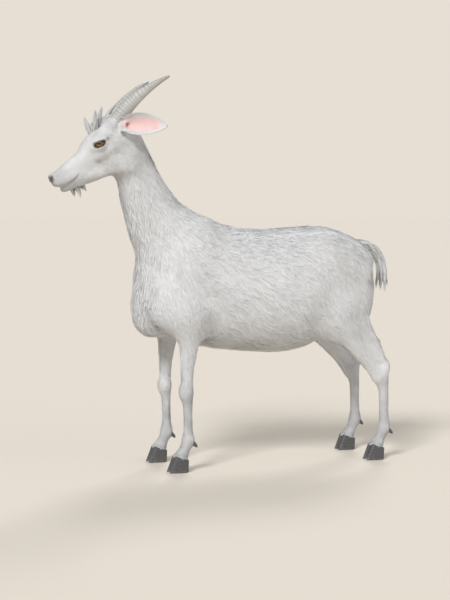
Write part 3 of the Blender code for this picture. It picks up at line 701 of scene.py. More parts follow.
@dataclass
class HindLeg(Leg):
    """One hind leg, from the croup to the pastern."""

    def grow(self) -> None:
        """Add the leg's own masses to its flesh, from the top down."""
        self.ball((0.060, 0.240, 0.592), (0.036, 0.085, 0.062), 0.0, -12)  # croup
        self.ball((0.083, 0.205, 0.624), (0.014, 0.028, 0.018), 0.050)  # hook bone
        self.ball((0.046, 0.352, 0.585), (0.020, 0.034, 0.028), 0.03, -10)  # pin bone
        self.ball((0.068, 0.268, 0.490), (0.041, 0.090, 0.118), 0.05, 8)  # thigh
        self.ball((0.060, 0.336, 0.480), (0.027, 0.045, 0.100), 0.04, -6)  # back of the thigh
        self.ball((0.088, 0.212, 0.410), (0.030, 0.044, 0.058), 0.045, 20)  # stifle
        self.limb([(0.086, 0.245, 0.430, 0.036, 0.058), (0.088, 0.278, 0.380, 0.031, 0.046),
                   (0.090, 0.316, 0.330, 0.024, 0.033), (0.091, 0.350, 0.287, 0.0180, 0.0245),
                   (0.091, 0.378, 0.250, 0.0165, 0.021)], 0.04)  # second thigh
        self.limb([(0.085, 0.338, 0.400, 0.010, 0.020), (0.090, 0.376, 0.335, 0.0085, 0.016),
                   (0.091, 0.406, 0.280, 0.010, 0.012)], 0.03)  # heel tendon
        self.ball((0.090, 0.360, 0.335), (0.008, 0.030, 0.050), 0.02, 30)  # skin before it
        self.ball((0.091, 0.410, 0.268), (0.0130, 0.0130, 0.024), 0.012)  # point of hock
        self.ball((0.091, 0.388, 0.245), (0.0205, 0.0240, 0.030), 0.012, -10)  # hock
        self.limb([(0.091, 0.397, 0.235, 0.0180, 0.0205), (0.091, 0.401, 0.190, 0.0145, 0.0170),
                   (0.091, 0.402, 0.140, 0.0138, 0.0162), (0.091, 0.403, 0.105, 0.015, 0.017)],
                  0.012)  # cannon
        self.ball((0.091, 0.403, 0.090), (0.0200, 0.0200, 0.0215), 0.012)  # fetlock
        self.limb([(0.091, 0.400, 0.084, 0.0170, 0.0168), (0.091, 0.390, 0.064, 0.0180, 0.0170),
                   (0.091, 0.381, 0.047, 0.0225, 0.0215)], 0.010)  # pastern


@dataclass
class Tail:
    """The short tail's flesh, held out and down."""

    def masses(self, form: Form) -> None:
        """Add the tail to a form.

        Args:
            form: What they melt into.
        """
        form.add(Limb([(0, 0.330, 0.620, 0.022, 0.018), (0, 0.372, 0.623, 0.024, 0.019),
                       (0, 0.408, 0.608, 0.025, 0.019), (0, 0.428, 0.580, 0.022, 0.018),
                       (0, 0.434, 0.558, 0.016, 0.014)]), 0.02)


# ---- the skin's field


def fade(values: Array, start: float, end: float) -> Array:
    """Smooth step of values, from 0 at start to 1 at end."""
    t = np.clip((values - start) / (end - start), 0.0, 1.0)
    return t * t * (3 - 2 * t)


def head_share(points: Array) -> Array:
    """How much each point belongs to the head: 0 on the neck and beyond, 1 on the face."""
    along, above = HEAD.local(points)
    return fade(along, -0.035, 0.030) * fade(above, -0.175, -0.125) * fade(points[:, 2], 0.70, 0.76)


def coat_depth(points: Array) -> Array:
    """Depth of the coat over the skin: most on the body, least on the face and the feet.

    Args:
        points: Places in plan coordinates.

    Returns:
        The depth at each point.
    """
    body, shank, face = 0.0062, 0.0024, 0.0017
    depth = body + (shank - body) * fade(points[:, 2], 0.36, 0.20)
    return depth + (face - depth) * head_share(points)


class Inset:
    """A coated outline, brought in by the depth of its coat."""

    def __init__(self, form: Form, depth: Callable[[Array], Array]) -> None:
        """Take the coated form.

        Args:
            form: The outline.
            depth: Gives the coat's depth at points.
        """
        self.form = form
        self.depth = depth
        self.low, self.high = form.low, form.high

    def distance(self, points: Array) -> Array:
        """Signed distance of each point, negative inside."""
        return self.form.distance(points) + self.depth(points)


@dataclass(frozen=True)
class Foot:
    """One foot: where its coronet is and how its claws are shaped."""

    side: Side
    pair: Pair
    slope: float = math.radians(17.0)
    front: float = 0.046
    toe: float = 0.0205
    heel: float = 0.0185

    @property
    def middle(self) -> tuple[float, float]:
        """Middle of the coronet, across and along."""
        x, y = (0.087, -0.2205) if self.pair is Pair.FORE else (0.091, 0.3795)
        return self.side.value * x, y + self.side.step

    @property
    def fetlock(self) -> Vector:
        """Middle of the fetlock joint."""
        x, y, z = (0.087, -0.199, 0.085) if self.pair is Pair.FORE else (0.091, 0.403, 0.090)
        return Vector((self.side.value * x, y + self.side.step, z))

    @property
    def down(self) -> Vector:
        """Direction out of the leg's end, at right angles to the coronet."""
        return Vector((0.0, -math.sin(self.slope), -math.cos(self.slope)))

    @property
    def low(self) -> Array:
        """Lowest corner of the space below the coronet."""
        return np.array((*self.middle, 0.02)) - (0.04, 0.05, 0.03)

    @property
    def high(self) -> Array:
        """Highest corner of the space below the coronet."""
        return np.array((*self.middle, 0.02)) + (0.04, 0.05, 0.03)

    def distance(self, points: Array) -> Array:
        """Measure from points to the plane where the leg's skin ends.

        Args:
            points: Where to measure.

        Returns:
            Signed distances, negative below the plane.
        """
        tuck = 0.0025
        edge = Vector((*self.middle, self.front - self.toe * math.tan(self.slope) - tuck))
        return -((points - np.array(edge)) @ np.array(self.down))


FEET = [Foot(side, pair) for side in Side for pair in Pair]
EYES = [EyePlace(side) for side in Side]
EARS = [EarShape(side, HEAD.at(0.006, -0.030, 0.0455 * side.value)) for side in Side]
PLAN_TO_FRAME = (sum((Vector(corner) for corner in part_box("eye_left")), Vector()) / 2) - EYES[0].centre


def polygonise(form: Mass, step: float, low: Array, high: Array) -> tuple[Array, Array]:
    """Mesh a form's surface inside a box: a coarse grid everywhere, a fine one near the surface.

    Args:
        form: What to mesh.
        step: Size of a mesh face.
        low: Lowest corner of the box.
        high: Highest corner of the box.

    Returns:
        Points in plan coordinates and quads.
    """
    ratio = 3
    coarse = step * ratio
    counts = np.ceil((high - low) / coarse).astype(int) + 1
    axes = [low[i] + (np.arange(counts[i]) + 0.5) * coarse - 0.5 * step for i in range(3)]
    nodes = np.stack(np.meshgrid(*axes, indexing="ij"), -1).reshape(-1, 3)
    values = form.distance(nodes).reshape(counts)
    for axis in range(3):
        values = np.repeat(values, ratio, axis=axis)
    near = np.abs(values) < coarse * 1.4
    values[near] = form.distance(low + np.argwhere(near) * step)
    grid = openvdb.FloatGrid(1.0)
    grid.copyFromArray(values.astype(np.float32))
    grid.transform = openvdb.createLinearTransform(voxelSize=step)
    points, quads = grid.convertToQuads(isovalue=0.0)
    return points + low, quads


# ---- markings and bare places


def waves(points: Array, size: float, seed: int, count: int = 7) -> Array:
    """Smooth noise made of waves.

    Args:
        points: Where to read it.
        size: About how long its waves are.
        seed: Which noise.
        count: How many waves are summed.

    Returns:
        Values of about -1 to 1.
    """
    random = np.random.default_rng(seed)
    found = np.zeros(len(points))
    for _ in range(count):
        direction = random.normal(size=3)
        direction /= np.linalg.norm(direction)
        length = size * random.uniform(0.6, 1.7)
        found += np.sin(points @ direction * (2 * math.pi / length) + random.uniform(0, 2 * math.pi))
    return found / math.sqrt(count)


@dataclass(frozen=True)
class Markings:
    """Colours of the coat by place, the same for skin and tufts."""

    silver: Row = (0.700, 0.704, 0.709)
    shadow: Row = (0.415, 0.418, 0.424)
    cream: Row = (0.745, 0.742, 0.732)

    def colour(self, points: Array) -> Array:
        """Colour the coat.

        Args:
            points: Places in plan coordinates.

        Returns:
            Red, green and blue at each point.
        """
        x, y, z = points.T
        head = head_share(points)
        along = HEAD.local(points)[0]
        spine = fade(np.abs(x), 0.040, 0.006) * fade(z, 0.60, 0.66) * (1 - head) * 0.35
        shanks = fade(z, 0.33, 0.08) * 0.55
        muzzle = head * fade(along, 0.150, 0.235) * 0.55
        cheek = head * fade(np.abs(along - 0.09), 0.05, 0.0) * 0.12
        belly = fade(z, 0.46, 0.34) * fade(np.abs(y - 0.03), 0.20, 0.12) * fade(np.abs(x), 0.11, 0.06)
        mottle = waves(points, 0.10, 11) * 0.10 + waves(points, 0.035, 12) * 0.07
        dark = np.clip(spine + shanks + muzzle + cheek + mottle, 0.0, 1.0)[:, None]
        light = np.clip(belly * 0.8 + waves(points, 0.16, 13) * 0.12, 0.0, 1.0)[:, None]
        silver, shadow, cream = (np.array(tone) for tone in (self.silver, self.shadow, self.cream))
        mixed = silver + (cream - silver) * light
        return mixed + (shadow - mixed) * dark


MARKINGS = Markings()


def ear_share(points: Array) -> Array:
    """How much each point belongs to an ear: 0 on the head, 1 out on the leaf.

    Args:
        points: Places in plan coordinates.

    Returns:
        A share for each point.
    """
    found = np.zeros(len(points))
    for ear in EARS:
        near = beside(points, ear)
        share = ear.local(points[near])[0]
        leaf = fade(ear.distance(points[near]), 0.007, 0.003) * fade(share, 0.02, 0.14)
        found[near] = np.maximum(found[near], leaf)
    return found


def ear_hollow(points: Array) -> Array:
    """How far each point lies on the hollow side of an ear: 0 outside it, 1 deep within.

    Args:
        points: Places in plan coordinates.

    Returns:
        A share for each point.
    """
    found = np.zeros(len(points))
    for ear in EARS:
        share, across, height = ear.local(points)
        ratio = np.abs(across) / ear.half(np.clip(share, 0, 1))
        inside = fade(height, -0.0002, 0.0010) * fade(height, 0.030, 0.020)
        inside *= fade(ratio, 0.88, 0.40) * fade(share, 0.95, 0.72) * fade(share, -0.02, 0.10)
        found = np.maximum(found, inside)
    return found


def nose_pad(points: Array) -> Array:
    """How bare each point is at the nose and the lips: 1 is bare skin.

    Args:
        points: Places in plan coordinates.

    Returns:
        A share for each point.
    """
    along, above = HEAD.local(points)
    side = np.abs(points[:, 0])
    nostrils = np.hypot((along - 0.248) / 0.016, np.hypot((above + 0.035) / 0.012, (side - 0.011) / 0.014))
    middle = np.hypot((along - 0.253) / 0.010, np.hypot((above + 0.046) / 0.016, side / 0.007))
    return np.maximum(fade(nostrils, 1.0, 0.62), fade(middle, 1.0, 0.5))


def lip_line(points: Array) -> Array:
    """How near each point lies to the line between the lips: 1 is on it.

    Args:
        points: Places in plan coordinates.

    Returns:
        A share for each point.
    """
    form = Form()
    Skull().strip(form, [(0.252, -0.068, 0.000, 0.001, 0.001), (0.246, -0.070, 0.012, 0.001, 0.001),
                         (0.226, -0.0715, 0.0245, 0.001, 0.001), (0.200, -0.0715, 0.0290, 0.001, 0.001),
                         (0.178, -0.066, 0.0325, 0.001, 0.001)], 0.0)
    return fade(form.distance(points), 0.0040, 0.0012)


def lid_rim(points: Array) -> Array:
    """How near each point lies to the edge of an eyelid: 1 is on it or inside.

    Args:
        points: Places in plan coordinates.

    Returns:
        A share for each point.
    """
    found = np.zeros(len(points))
    for eye in EYES:
        edge = fade(LidOpening(eye).distance(points), 0.0026, 0.0008)
        found = np.maximum(found, edge * fade(eye.away(points), eye.radius + 0.008, eye.radius + 0.005))
    return found


# ---- finishes


class Shade:
    """A small helper that lays out one node tree."""

    def __init__(self, tree: NodeTree) -> None:
        """Work on this tree."""
        self.tree = tree

    def node(self, kind: str, **values: object) -> bpy.types.Node:
        """Add a node.

        Args:
            kind: The node's type name.
            values: Its properties, or its inputs by name with _ for a space.

        Returns:
            The node.
        """
        made = self.tree.nodes.new(kind)
        for name, value in values.items():
            if hasattr(made, name):
                setattr(made, name, value)
            else:
                self.give(made, name.replace("_", " "), value)
        return made

    def give(self, node: bpy.types.Node, socket: str | int, value: object) -> None:
        """Set an input of a node to a value, or link it to another node's output.

        Args:
            node: The node.
            socket: Name or number of the input.
            value: A value, or an output.
        """
        if isinstance(value, NodeSocket):
            self.tree.links.new(value, node.inputs[socket])
        else:
            node.inputs[socket].default_value = value

    def read(self, name: str, output: str = "Fac") -> NodeSocket:
        """Output that reads a mesh attribute."""
        return self.node("ShaderNodeAttribute", attribute_name=name).outputs[output]

    def fed(self, node: bpy.types.Node, values: dict[int | str, object], output: int | str = 0) -> NodeSocket:
        """Set or link a node's inputs.

        Args:
            node: The node.
            values: What goes into each input.
            output: Which output to return.

        Returns:
            The output.
        """
        for socket, value in values.items():
            self.give(node, socket, value)
        return node.outputs[output]

    def math(self, operation: str, *values: object) -> NodeSocket:
        """Output of a maths node with these inputs."""
        return self.fed(self.node("ShaderNodeMath", operation=operation), dict(enumerate(values)))

    def times(self, first: object, second: object) -> NodeSocket:
        """Product of two values."""
        return self.math("MULTIPLY", first, second)

    def most(self, first: object, second: object) -> NodeSocket:
        """Greater of two values."""
        return self.math("MAXIMUM", first, second)

    def group(self, tree: NodeTree, output: str, **values: object) -> NodeSocket:
        """Output of a node group placed with these inputs."""
        return self.fed(self.node("ShaderNodeGroup", node_tree=tree), values, output)

    def mix(self, share: object, first: object, second: object) -> NodeSocket:
        """Colour mixed from two others by a share."""
        made = self.node("ShaderNodeMix", data_type="RGBA")
        return self.fed(made, {0: share, 6: first, 7: second}, 2)

    def span(self, value: object, low: float, high: float, to_low: float = 0.0,
             to_high: float = 1.0) -> NodeSocket:
        """Value moved from one range to another and held inside it."""
        return self.fed(self.node("ShaderNodeMapRange"), dict(enumerate((value, low, high, to_low, to_high))))

    def noise(self, vector: object, scale: float, detail: float = 3.0, roughness: float = 0.55) -> NodeSocket:
        """Value of a noise texture of about 0 to 1."""
        made = self.node("ShaderNodeTexNoise", Scale=scale, Detail=detail, Roughness=roughness)
        return self.fed(made, {"Vector": vector})

    def place(self) -> NodeSocket:
        """Object coordinates."""
        return self.node("ShaderNodeTexCoord").outputs["Object"]

    def vector(self, *values: object) -> NodeSocket:
        """Vector of three values."""
        return self.fed(self.node("ShaderNodeCombineXYZ"), dict(enumerate(values)))


def node_group(name: str, inputs: Sequence[tuple[str, str, object]], outputs: Sequence[tuple[str, str]],
               fill: Callable[[Shade, Sockets], Sockets]) -> NodeTree:
    """Make a shader node group.

    Args:
        name: The group's name.
        inputs: Name, socket kind and default of each input.
        outputs: Name and socket kind of each output.
        fill: Lays out the nodes and gives the socket for each output by name.

    Returns:
        The group.
    """
    group = bpy.data.node_groups.new(name, "ShaderNodeTree")
    for label, kind, default in inputs:
        socket = group.interface.new_socket(label, in_out="INPUT", socket_type=kind)
        if default is not None:
            socket.default_value = default
    for label, kind in outputs:
        group.interface.new_socket(label, in_out="OUTPUT", socket_type=kind)
    shade = Shade(group)
    start = shade.node("NodeGroupInput")
    end = shade.node("NodeGroupOutput")
    for label, socket in fill(shade, {label: start.outputs[label] for label, _, _ in inputs}).items():
        shade.give(end, label, socket)
    return group


def mottle_group() -> NodeTree:
    """Group that varies a colour in soft blotches, coarse and fine.

    Returns:
        The group.
    """
    def fill(shade: Shade, given: Sockets) -> Sockets:
        """Lay out the nodes.

        Args:
            shade: Where to add them.
            given: The group's inputs.

        Returns:
            The group's outputs.
        """
        coarse = shade.noise(given["Vector"], given["Scale"], 3.0, 0.6)
        fine = shade.noise(given["Vector"], shade.times(given["Scale"], 7.0), 2.0, 0.5)
        both = shade.math("ADD", shade.times(coarse, 0.65), shade.times(fine, 0.35))
        swing = shade.times(shade.math("SUBTRACT", both, 0.5), given["Strength"])
        value = shade.math("ADD", swing, 1.0)
        bright = shade.node("ShaderNodeHueSaturation", Color=given["Color"], Value=value)
        return {"Color": bright.outputs[0], "Mask": both}

    return node_group("mottle", [("Color", "NodeSocketColor", (0.8, 0.8, 0.8, 1.0)),
                                 ("Vector", "NodeSocketVector", None), ("Scale", "NodeSocketFloat", 20.0),
                                 ("Strength", "NodeSocketFloat", 0.3)],
                      [("Color", "NodeSocketColor"), ("Mask", "NodeSocketFloat")], fill)


def fibre_group() -> NodeTree:
    """Group that draws fine fibres that run along a piece.

    Returns:
        The group.
    """
    def fill(shade: Shade, given: Sockets) -> Sockets:
        """Lay out the nodes.

        Args:
            shade: Where to add them.
            given: The group's inputs.

        Returns:
            The group's outputs.
        """
        across, along = shade.times(given["Across"], given["Count"]), shade.times(given["Along"], 1.6)
        lines = shade.noise(shade.vector(across, along, given["Seed"]), 1.0, 2.0, 0.6)
        return {"Mask": shade.span(lines, 0.30, 0.70)}

    return node_group("fibres", [("Across", "NodeSocketFloat", 0.0), ("Along", "NodeSocketFloat", 0.0),
                                 ("Seed", "NodeSocketFloat", 0.0), ("Count", "NodeSocketFloat", 4.0)],
                      [("Mask", "NodeSocketFloat")], fill)


class Groups:
    """The node groups that several finishes share, each built once."""

    def __init__(self) -> None:
        """Build the groups."""
        self.mottle = mottle_group()
        self.fibres = fibre_group()


class Finish:
    """Start of every finish: a material with its Principled shader at hand."""

    def __init__(self, name: str) -> None:
        """Make an empty material of this name.

        Args:
            name: The material's name.
        """
        self.material = bpy.data.materials.new(name)
        self.material.use_nodes = True
        self.shade = Shade(self.material.node_tree)
        self.shader = self.material.node_tree.nodes["Principled BSDF"]

    def set(self, **values: object) -> None:
        """Set or link the shader's inputs, with _ for a space in their names."""
        for name, value in values.items():
            self.shade.give(self.shader, name.replace("_", " "), value)

    def bump(self, height: NodeSocket, distance: float, strength: float) -> NodeSocket:
        """Normal from a height, the distance that a height of 1 stands up, and a strength."""
        node = self.shade.node("ShaderNodeBump", Height=height, Distance=distance, Strength=strength)
        return node.outputs[0]


@dataclass(frozen=True)
class CoatFinish:
    """Hair: light silver grey with fine fibres along each tuft, and painted shade that makes
    each tuft darker at its root and lighter at its tip.
    """

    # painted shade: a tuft's colour is scaled by root at its root and by tip at its tip
    root: float = 0.85
    tip: float = 1.05
    spread: float = 0.10
    fibres: float = 5.0
    roughness: float = 0.62

    def build(self, groups: Groups) -> Material:
        """Make the material.

        Args:
            groups: The shared node groups.

        Returns:
            The material.
        """
        finish = Finish("coat_hair")
        shade = finish.shade
        island = shade.node("ShaderNodeNewGeometry").outputs["Random Per Island"]
        along, across = shade.read("along"), shade.read("across")
        fibre = shade.group(groups.fibres, "Mask", Across=across, Along=along, Count=self.fibres,
                            Seed=shade.times(island, 91.0))
        # painted shade: each tuft darkens towards its root and lightens towards its tip
        tone = shade.span(along, 0.0, 0.75, self.root, self.tip)
        own = shade.span(island, 0.0, 1.0, 1 - self.spread, 1 + self.spread)
        line = shade.span(fibre, 0.0, 1.0, 0.93, 1.03)
        value = shade.times(shade.times(tone, own), line)
        colour = shade.node("ShaderNodeHueSaturation", Color=shade.read("coat_colour", "Color"), Value=value)
        finish.set(Base_Color=colour.outputs[0], Roughness=self.roughness, IOR=1.45,
                   Specular_IOR_Level=0.32, Sheen_Weight=0.12, Sheen_Roughness=0.4,
                   Normal=finish.bump(fibre, 0.0004, 0.4))
        return finish.material


@dataclass(frozen=True)
class SkinFinish:
    """Skin: short hair as bump in the coat's colours, darkened by painted shade under the coat,
    pink in the ears, dark at the nose and lids.
    """

    nose: Row = (0.135, 0.115, 0.115, 1.0)
    pink: Row = (0.760, 0.540, 0.520, 1.0)
    vein: Row = (0.660, 0.360, 0.350, 1.0)
    lid: Row = (0.070, 0.058, 0.055, 1.0)
    # painted shade: the dark colour mixed into the skin where the coat covers it
    under: Row = (0.200, 0.170, 0.160, 1.0)

    def build(self, groups: Groups) -> Material:
        """Make the material.

        Args:
            groups: The shared node groups.

        Returns:
            The material.
        """
        finish = Finish("skin_and_short_hair")
        shade = finish.shade
        place = shade.place()
        mottled = shade.group(groups.mottle, "Color", Color=shade.read("coat_colour", "Color"), Vector=place,
                              Scale=60.0, Strength=0.5)
        # painted shade: the skin under the tufts is darkened a little towards under
        deep = shade.mix(0.10, mottled, self.under)
        ear, nose, lid = shade.read("ear_hollow"), shade.read("nose_pad"), shade.read("lid_rim")
        veins = shade.span(shade.noise(place, 45.0, 4.0, 0.7), 0.35, 0.65, 0.0, 0.35)
        colour = shade.mix(ear, deep, shade.mix(veins, self.pink, self.vein))
        for share, tone in ((nose, self.nose), (lid, self.lid),
                            (shade.times(shade.read("lip_line"), 0.80), self.nose)):
            colour = shade.mix(share, colour, tone)
        wet = shade.most(nose, lid)
        short_hair = shade.noise(place, 900.0, 2.0, 0.5)
        cells = shade.node("ShaderNodeTexVoronoi", feature="F1", Vector=place, Scale=700.0)
        haired = shade.math("SUBTRACT", 1.0, shade.most(wet, ear))
        pores = shade.times(cells.outputs["Distance"], shade.times(nose, 0.8))
        height = shade.math("ADD", shade.times(short_hair, haired), pores)
        finish.set(Base_Color=colour, Roughness=shade.span(wet, 0, 1, 0.75, 0.38),
                   Normal=finish.bump(height, 0.0008, 0.8), Specular_IOR_Level=0.35)
        return finish.material


@dataclass(frozen=True)
class HornFinish:
    """Horn: pale grey, with fibres along it, darker in the grooves between growth rings."""

    pale: Row = (0.530, 0.522, 0.500, 1.0)
    dark: Row = (0.190, 0.183, 0.172, 1.0)
    tip: Row = (0.380, 0.370, 0.352, 1.0)

    def build(self, groups: Groups) -> Material:
        """Make the material.

        Args:
            groups: The shared node groups.

        Returns:
            The material.
        """
        finish = Finish("horn")
        shade = finish.shade
        along, across, groove = shade.read("along"), shade.read("across"), shade.read("groove")
        fibre = shade.group(groups.fibres, "Mask", Across=across, Along=along, Count=22.0, Seed=3.0)
        colour = shade.mix(shade.span(along, 0.55, 1.0), self.pale, self.tip)
        colour = shade.mix(shade.times(groove, 0.62), colour, self.dark)
        colour = shade.mix(shade.span(fibre, 0.0, 1.0, 0.30, 0.0), colour, self.dark)
        mottled = shade.group(groups.mottle, "Color", Color=colour, Vector=shade.place(), Scale=70.0,
                              Strength=0.45)
        height = shade.math("ADD", shade.times(fibre, 0.5), mottled.node.outputs["Mask"])
        finish.set(Base_Color=mottled, Roughness=shade.span(groove, 0.0, 1.0, 0.40, 0.66),
                   Normal=finish.bump(height, 0.0005, 0.7), Specular_IOR_Level=0.5)
        return finish.material


@dataclass(frozen=True)
class HoofFinish:
    """Hoof horn: dark grey, with growth lines round it, dusty and worn towards the sole."""

    dark: Row = (0.048, 0.048, 0.050, 1.0)
    grey: Row = (0.100, 0.099, 0.101, 1.0)
    worn: Row = (0.165, 0.158, 0.150, 1.0)

    def build(self, groups: Groups) -> Material:
        """Make the material.

        Args:
            groups: The shared node groups.

        Returns:
            The material.
        """
        finish = Finish("hoof")
        shade = finish.shade
        along, across = shade.read("along"), shade.read("across")
        fibre = shade.group(groups.fibres, "Mask", Across=across, Along=along, Count=14.0, Seed=8.0)
        place = shade.place()
        lines = shade.vector(shade.times(along, 13.0), shade.times(across, 0.5), 0.0)
        growth = shade.noise(lines, 1.0, 3.0, 0.6)
        colour = shade.mix(shade.span(growth, 0.35, 0.65), self.dark, self.grey)
        colour = shade.mix(shade.span(fibre, 0.0, 1.0, 0.0, 0.25), colour, self.grey)
        specks = shade.noise(place, 120.0, 4.0)
        dust = shade.times(shade.span(along, 0.55, 1.0), shade.span(specks, 0.35, 0.70))
        colour = shade.mix(shade.times(dust, 0.75), colour, self.worn)
        mottled = shade.group(groups.mottle, "Color", Color=colour, Vector=place, Scale=110.0, Strength=0.5)
        height = shade.math("ADD", growth, shade.times(mottled.node.outputs["Mask"], 0.4))
        finish.set(Base_Color=mottled, Roughness=shade.span(dust, 0.0, 1.0, 0.36, 0.72),
                   Normal=finish.bump(height, 0.0006, 0.8))
        return finish.material


@dataclass(frozen=True)
class EyeFinish:
    """Eyeball: amber iris with a level slot pupil, dark rim, wet cornea."""

    iris: Row = (0.330, 0.185, 0.050, 1.0)
    deep: Row = (0.115, 0.052, 0.014, 1.0)
    white: Row = (0.340, 0.290, 0.250, 1.0)
    black: Row = (0.006, 0.005, 0.005, 1.0)
    pupil: tuple[float, float] = (0.0052, 0.0017)
    iris_radius: float = 0.0098

    def build(self) -> Material:
        """Make the material, for an eye whose own X is level and whose own Z is its gaze.

        Returns:
            The material.
        """
        finish = Finish("eye")
        shade = finish.shade
        place = shade.place()
        x, y, z = shade.node("ShaderNodeSeparateXYZ", Vector=place).outputs
        around = shade.math("ARCTAN2", y, x)
        away = shade.math("SQRT", shade.math("ADD", shade.times(x, x), shade.times(y, y)))
        behind = shade.span(z, 0.004, 0.0)
        edge = shade.most(away, shade.times(behind, 0.02))
        spokes = shade.vector(shade.times(around, 4.5), shade.times(away, 60.0), 2.0)
        rays = shade.noise(spokes, 1.0, 4.0, 0.7)
        colour = shade.mix(shade.span(rays, 0.30, 0.70), self.iris, self.deep)
        colour = shade.mix(shade.span(away, 0.0070, self.iris_radius), colour, self.deep)
        level, upright = (shade.math("POWER", shade.math("ABSOLUTE", shade.math("DIVIDE", off, half)), 4.0)
                          for off, half in zip((x, y), self.pupil))
        over = shade.math("POWER", shade.math("ADD", level, upright), 0.25)
        colour = shade.mix(shade.span(over, 1.30, 1.0), colour, self.black)
        rim = self.iris_radius
        ring = shade.times(shade.span(edge, rim - 0.0012, rim - 0.0002),
                           shade.span(edge, rim + 0.0022, rim + 0.0008))
        colour = shade.mix(shade.span(edge, rim, rim + 0.0010), colour, self.white)
        colour = shade.mix(ring, colour, self.black)
        finish.set(Base_Color=colour, Roughness=0.45, Coat_Weight=1.0, Coat_Roughness=0.02, Coat_IOR=1.36,
                   Specular_IOR_Level=0.1, Normal=finish.bump(rays, 0.0002, 0.3))
        return finish.material


@dataclass(frozen=True)
class FloorFinish:
    """Plain pale floor."""

    colour: Row = (0.640, 0.590, 0.520, 1.0)

    def build(self) -> Material:
        """Make the material.

        Returns:
            The material.
        """
        finish = Finish("floor")
        finish.set(Base_Color=self.colour, Roughness=0.9, Specular_IOR_Level=0.0)
        return finish.material


# ---- making pieces


def add_piece(name: str, mesh: Mesh, material: Material, slot: str, *nodes: str) -> Object:
    """Put a mesh in the scene as a piece of the goat.

    Args:
        name: The piece's name.
        mesh: Its mesh, in frame coordinates.
        material: Its finish.
        slot: The record's material slot; not used.
        nodes: The solids that it stands for.

    Returns:
        The piece.
    """
    piece = bpy.data.objects.new(name, mesh)
    bpy.context.scene.collection.objects.link(piece)
    mesh.materials.append(material)
    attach(piece, "root")
    if nodes:
        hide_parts(*nodes)
    log.info("%-28s %7d triangles", name, sum(len(face.vertices) - 2 for face in mesh.polygons))
    return piece


def rows_of(items: bpy.types.bpy_prop_collection, name: str, width: int, kind: type = float) -> Array:
    """Read one property of every item.

    Args:
        items: The items.
        name: The property.
        width: How many numbers each item has.
        kind: Kind of number.

    Returns:
        A row for each item.
    """
    rows = np.empty(len(items) * width, kind)
    items.foreach_get(name, rows)
    return rows.reshape(-1, width)


def new_mesh(name: str, points: Array, faces: Sequence[Sequence[int]]) -> Mesh:
    """Make a mesh.

    Args:
        name: Its name.
        points: Its points.
        faces: The points of each face.

    Returns:
        The mesh.
    """
    mesh = bpy.data.meshes.new(name)
    mesh.from_pydata(points.tolist(), [], faces)
    return mesh


@contextmanager
def editing(mesh: Mesh) -> Iterator[bmesh.types.BMesh]:
    """Open a mesh for editing and write it back.

    Args:
        mesh: The mesh.

    Returns:
        The open mesh, while it is edited.
    """
    work = bmesh.new()
    work.from_mesh(mesh)
    yield work
    work.to_mesh(mesh)
    work.free()


def store(mesh: Mesh, name: str, values: Array) -> None:
    """Keep a value or a colour for each point of a mesh.

    Args:
        mesh: The mesh.
        name: The attribute's name.
        values: A value or a colour for each point.
    """
    if values.ndim == 1:
        mesh.attributes.new(name, "FLOAT", "POINT").data.foreach_set("value", values.astype(np.float32))
        return
    rows = np.ones((len(values), 4), np.float32)
    rows[:, :3] = values
    mesh.attributes.new(name, "FLOAT_COLOR", "POINT").data.foreach_set("color", rows.ravel())


def ring_mesh(name: str, rings: Array, values: dict[str, Array]) -> Mesh:
    """Closed skin over rings of points, capped by a fan at each end.

    Args:
        name: The mesh's name.
        rings: Points by ring, place on the ring and coordinate, in plan coordinates.
        values: Values to keep, by ring and place on the ring.

    Returns:
        The mesh in frame coordinates.
    """
    count, sides = rings.shape[:2]
    points = np.vstack([rings.reshape(-1, 3), rings[0].mean(0), rings[-1].mean(0)]) + np.array(PLAN_TO_FRAME)
    pairs = [(k, (k + 1) % sides) for k in range(sides)]
    end = (count - 1) * sides
    faces: list[tuple[int, ...]] = [
        (ring + k, ring + after, ring + sides + after, ring + sides + k)
        for ring in range(0, end, sides) for k, after in pairs]
    for k, after in pairs:
        faces += [(after, k, end + sides), (end + k, end + after, end + sides + 1)]
    mesh = new_mesh(name, points, faces)
    with editing(mesh) as work:
        bmesh.ops.recalc_face_normals(work, faces=work.faces)
    for label, rows in values.items():
        flat = rows.reshape(-1)
        store(mesh, label, np.concatenate([flat, [rows[0].mean(), rows[-1].mean()]]))
    mesh.shade_smooth()
    mesh.set_sharp_from_angle(angle=math.radians(50))
    return mesh


